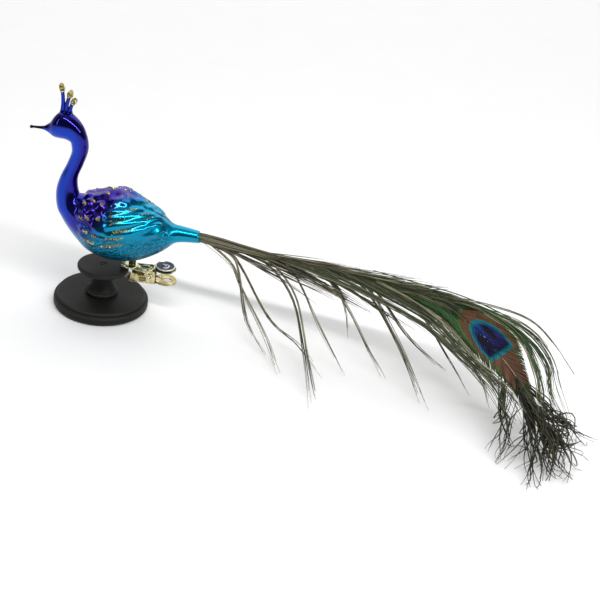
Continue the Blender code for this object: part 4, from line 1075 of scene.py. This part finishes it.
outer += clump_of([
    swept([(100, 0), (125, -6), (150, -11), (170, -12), (188, -11), (200, -9), (212, -7)], (222, -90, 9)),
    swept([(85, 0), (115, -7), (145, -13), (168, -15), (186, -13), (198, -12), (210, -12), (222, -9)]),
    swept([(75, 0), (105, -7), (135, -14), (160, -16), (180, -14), (195, -11), (206, -8), (224, -5)]),
    swept([(110, 0), (135, -6), (160, -10), (180, -11), (196, -8), (210, -5), (228, -1)]),
    swept([(60, 0), (95, -6), (125, -12), (150, -17), (172, -17), (190, -15), (203, -14), (218, -13)]),
], 9, 0.75, 0.27, steps=24, green=0.8, curl=1.0)
piece("barb_strands_6", outer, barb_paint, "bird", "feather_barbs", "barb_spray_6")


def arching(count, roots, bends, tips, thick, curl):
    """Single barbs (1-t)^2 root + 2t(1-t) bend + t^2 tip, each place drawn between its pair of limits,
    with a curl that grows as t^1.5."""
    def pick(limits):
        low, high = np.array(limits, float)
        return low + (high - low) * dice.random((count, 1)) + dice.normal(0, 0.9, (count, 3))
    root, bend, tip = pick(roots), pick(bends), pick(tips)
    tip[:, 2] = np.maximum(tip[:, 2], 0.8)
    t = np.linspace(0, 1, 20)[:, None]
    line = (1 - t) ** 2 * root[:, None] + 2 * t * (1 - t) * bend[:, None] + t ** 2 * tip[:, None]
    phase = dice.uniform(0, 6.3, (count, 1, 3))
    line += curl * t ** 1.5 * np.sin(phase + t * dice.uniform(4, 13, (count, 1, 1)))
    return strands(line, thick, green=0.5 * (1 - t[:, 0]))


tuft_paint = Paint("matted barbs", Specular_Ior_Level=0.4)
tuft_frizz = tuft_paint.noise(2000.0)
tuft_share = (tuft_paint.field("tone") * 0.9 + 0.3 * tuft_frizz - 0.15).clip()
tuft_paint.set("Base Color", tuft_paint.blend(tuft_share, (0.010, 0.010, 0.007), (0.075, 0.072, 0.038)))
tuft_paint.set("Roughness", 0.5 + 0.3 * tuft_frizz)
tuft_paint.bump(tuft_frizz, 0.5, 0.0002)
TUFTS = {
    "near": [
        (13, [(208, -60, 31), (224, -82, 16)], [(219, -84, 20), (224, -92, 12)],
         [(208, -92, 6), (224, -108, 1)], 0.40, 4.0),
        (9, [(204, -58, 31), (212, -68, 26)], [(204, -66, 20), (210, -76, 16)],
         [(206, -74, 12), (212, -88, 2)], 0.38, 2.6),
        (4, [(220, -80, 18), (224, -86, 12)], [(219, -96, 8), (222, -100, 5)],
         [(217, -110, 1), (220, -112.5, 1)], 0.30, 1.4),
        (7, [(208, -66, 26), (216, -76, 20)], [(206, -80, 14), (212, -88, 9)],
         [(200, -86, 3), (208, -96, 1)], 0.30, 2.6),
    ],
    "middle": [
        (28, [(212, -64, 29), (226, -84, 16)], [(226, -80, 20), (236, -92, 12)],
         [(224, -96, 6), (240, -102, 1)], 0.42, 4.8),
        (20, [(216, -70, 26), (226, -84, 18)], [(230, -76, 20), (238, -88, 12)],
         [(234, -88, 12), (246, -90, 1)], 0.40, 5.6),
        (26, [(212, -62, 30), (222, -78, 20)], [(220, -74, 24), (230, -84, 16)],
         [(226, -84, 14), (236, -92, 8)], 0.42, 2.2),
    ],
    "far": [
        (19, [(214, -62, 30), (226, -80, 18)], [(232, -66, 22), (242, -78, 14)],
         [(238, -80, 10), (252, -64, 1)], 0.40, 4.8),
        (3, [(222, -74, 22), (226, -80, 17)], [(238, -76, 14), (244, -74, 12)],
         [(256, -68, 2), (260, -66, 1)], 0.3, 1.2),
    ],
}
for label, tufts in TUFTS.items():
    piece("tuft_" + label, [arching(*tuft) for tuft in tufts], tuft_paint, "bird", "feather_barbs",
          "tip_tuft_" + label)

# ---- Room ----
# A pale seamless table lit by large soft boxes, with a dark far side that gives the glass and the gold
# their contrast.
table_paint = Paint("white table", Specular_Ior_Level=0.2)
table_grain = table_paint.noise(30.0)
table_paint.set("Base Color", table_paint.blend(table_grain, (0.93, 0.93, 0.93), (0.97, 0.97, 0.97)))
table_paint.set("Roughness", 0.7 + 0.2 * table_grain)
table_mesh = bpy.data.meshes.new("table_top")
table_mesh.from_pydata([(-6, -6, 0), (6, -6, 0), (6, 6, 0), (-6, 6, 0)], [], [(0, 1, 2, 3)])
table_mesh.materials.append(table_paint.material)
table_top = bpy.data.objects.new("table_top", table_mesh)
bpy.context.scene.collection.objects.link(table_top)

world = bpy.data.worlds.new("studio")
world.use_nodes = True
air = world.node_tree
sky = air.nodes["Background"]
sky.inputs["Color"].default_value = (1.0, 1.0, 1.0, 1.0)
heading = air.nodes.new("ShaderNodeSeparateXYZ")
air.links.new(air.nodes.new("ShaderNodeTexCoord").outputs["Generated"], heading.inputs[0])
away, overhead = Value(air, heading.outputs[1]), Value(air, heading.outputs[2])
paper, ceiling, dusk = away.ramp(-0.05, 0.30) * 0.36, overhead.ramp(0.64, 0.90) * 0.48, 0.10
feed(air, sky.inputs["Strength"], paper.most(ceiling).most(dusk))
bpy.context.scene.world = world
bpy.context.scene.view_settings.view_transform = "Standard"


def soft_box(name, place, along, wide, tall, power):
    """Rectangle of light that faces the ornament, its wide side laid along a direction."""
    lamp = bpy.data.lights.new(name, "AREA")
    lamp.shape = "RECTANGLE"
    lamp.size, lamp.size_y, lamp.energy = wide, tall, power
    lit = bpy.data.objects.new(name, lamp)
    back = (Vector(place) - Vector((0.05, 0.0, 0.05))).normalized()
    across = Vector(along).cross(back).normalized()
    side = back.cross(across)
    lit.matrix_world = Matrix.Translation(place) @ Matrix((side, -across, back)).transposed().to_4x4()
    bpy.context.scene.collection.objects.link(lit)


soft_box("top_strip", (0.45, -0.50, 0.72), (1.6, 0.0, -0.7), 1.8, 0.06, 9.0)
soft_box("back_box", (0.10, 0.95, 0.95), (1.0, 0.0, 0.0), 2.4, 1.6, 14.0)
soft_box("left_strip", (-0.95, -0.55, 0.50), (0.0, 0.0, 1.0), 0.7, 0.10, 1.5)

camera = bpy.data.cameras.new("camera")
camera.lens = 72.2
camera.sensor_width = 36.0
camera.clip_start = 0.01
view = bpy.data.objects.new("camera", camera)
eye_right = Vector((0.9894, 0.0421, 0.1392)).normalized()
eye_forward = Vector((0.0328, 0.8677, -0.4960)).normalized()
eye_up = eye_right.cross(eye_forward)
turn = Matrix((eye_right, eye_up, -eye_forward)).transposed().to_4x4()
view.matrix_world = Matrix.Translation(Vector((84.4, -555.4, 336.4)) * MM) @ turn
bpy.context.scene.collection.objects.link(view)
bpy.context.scene.camera = view
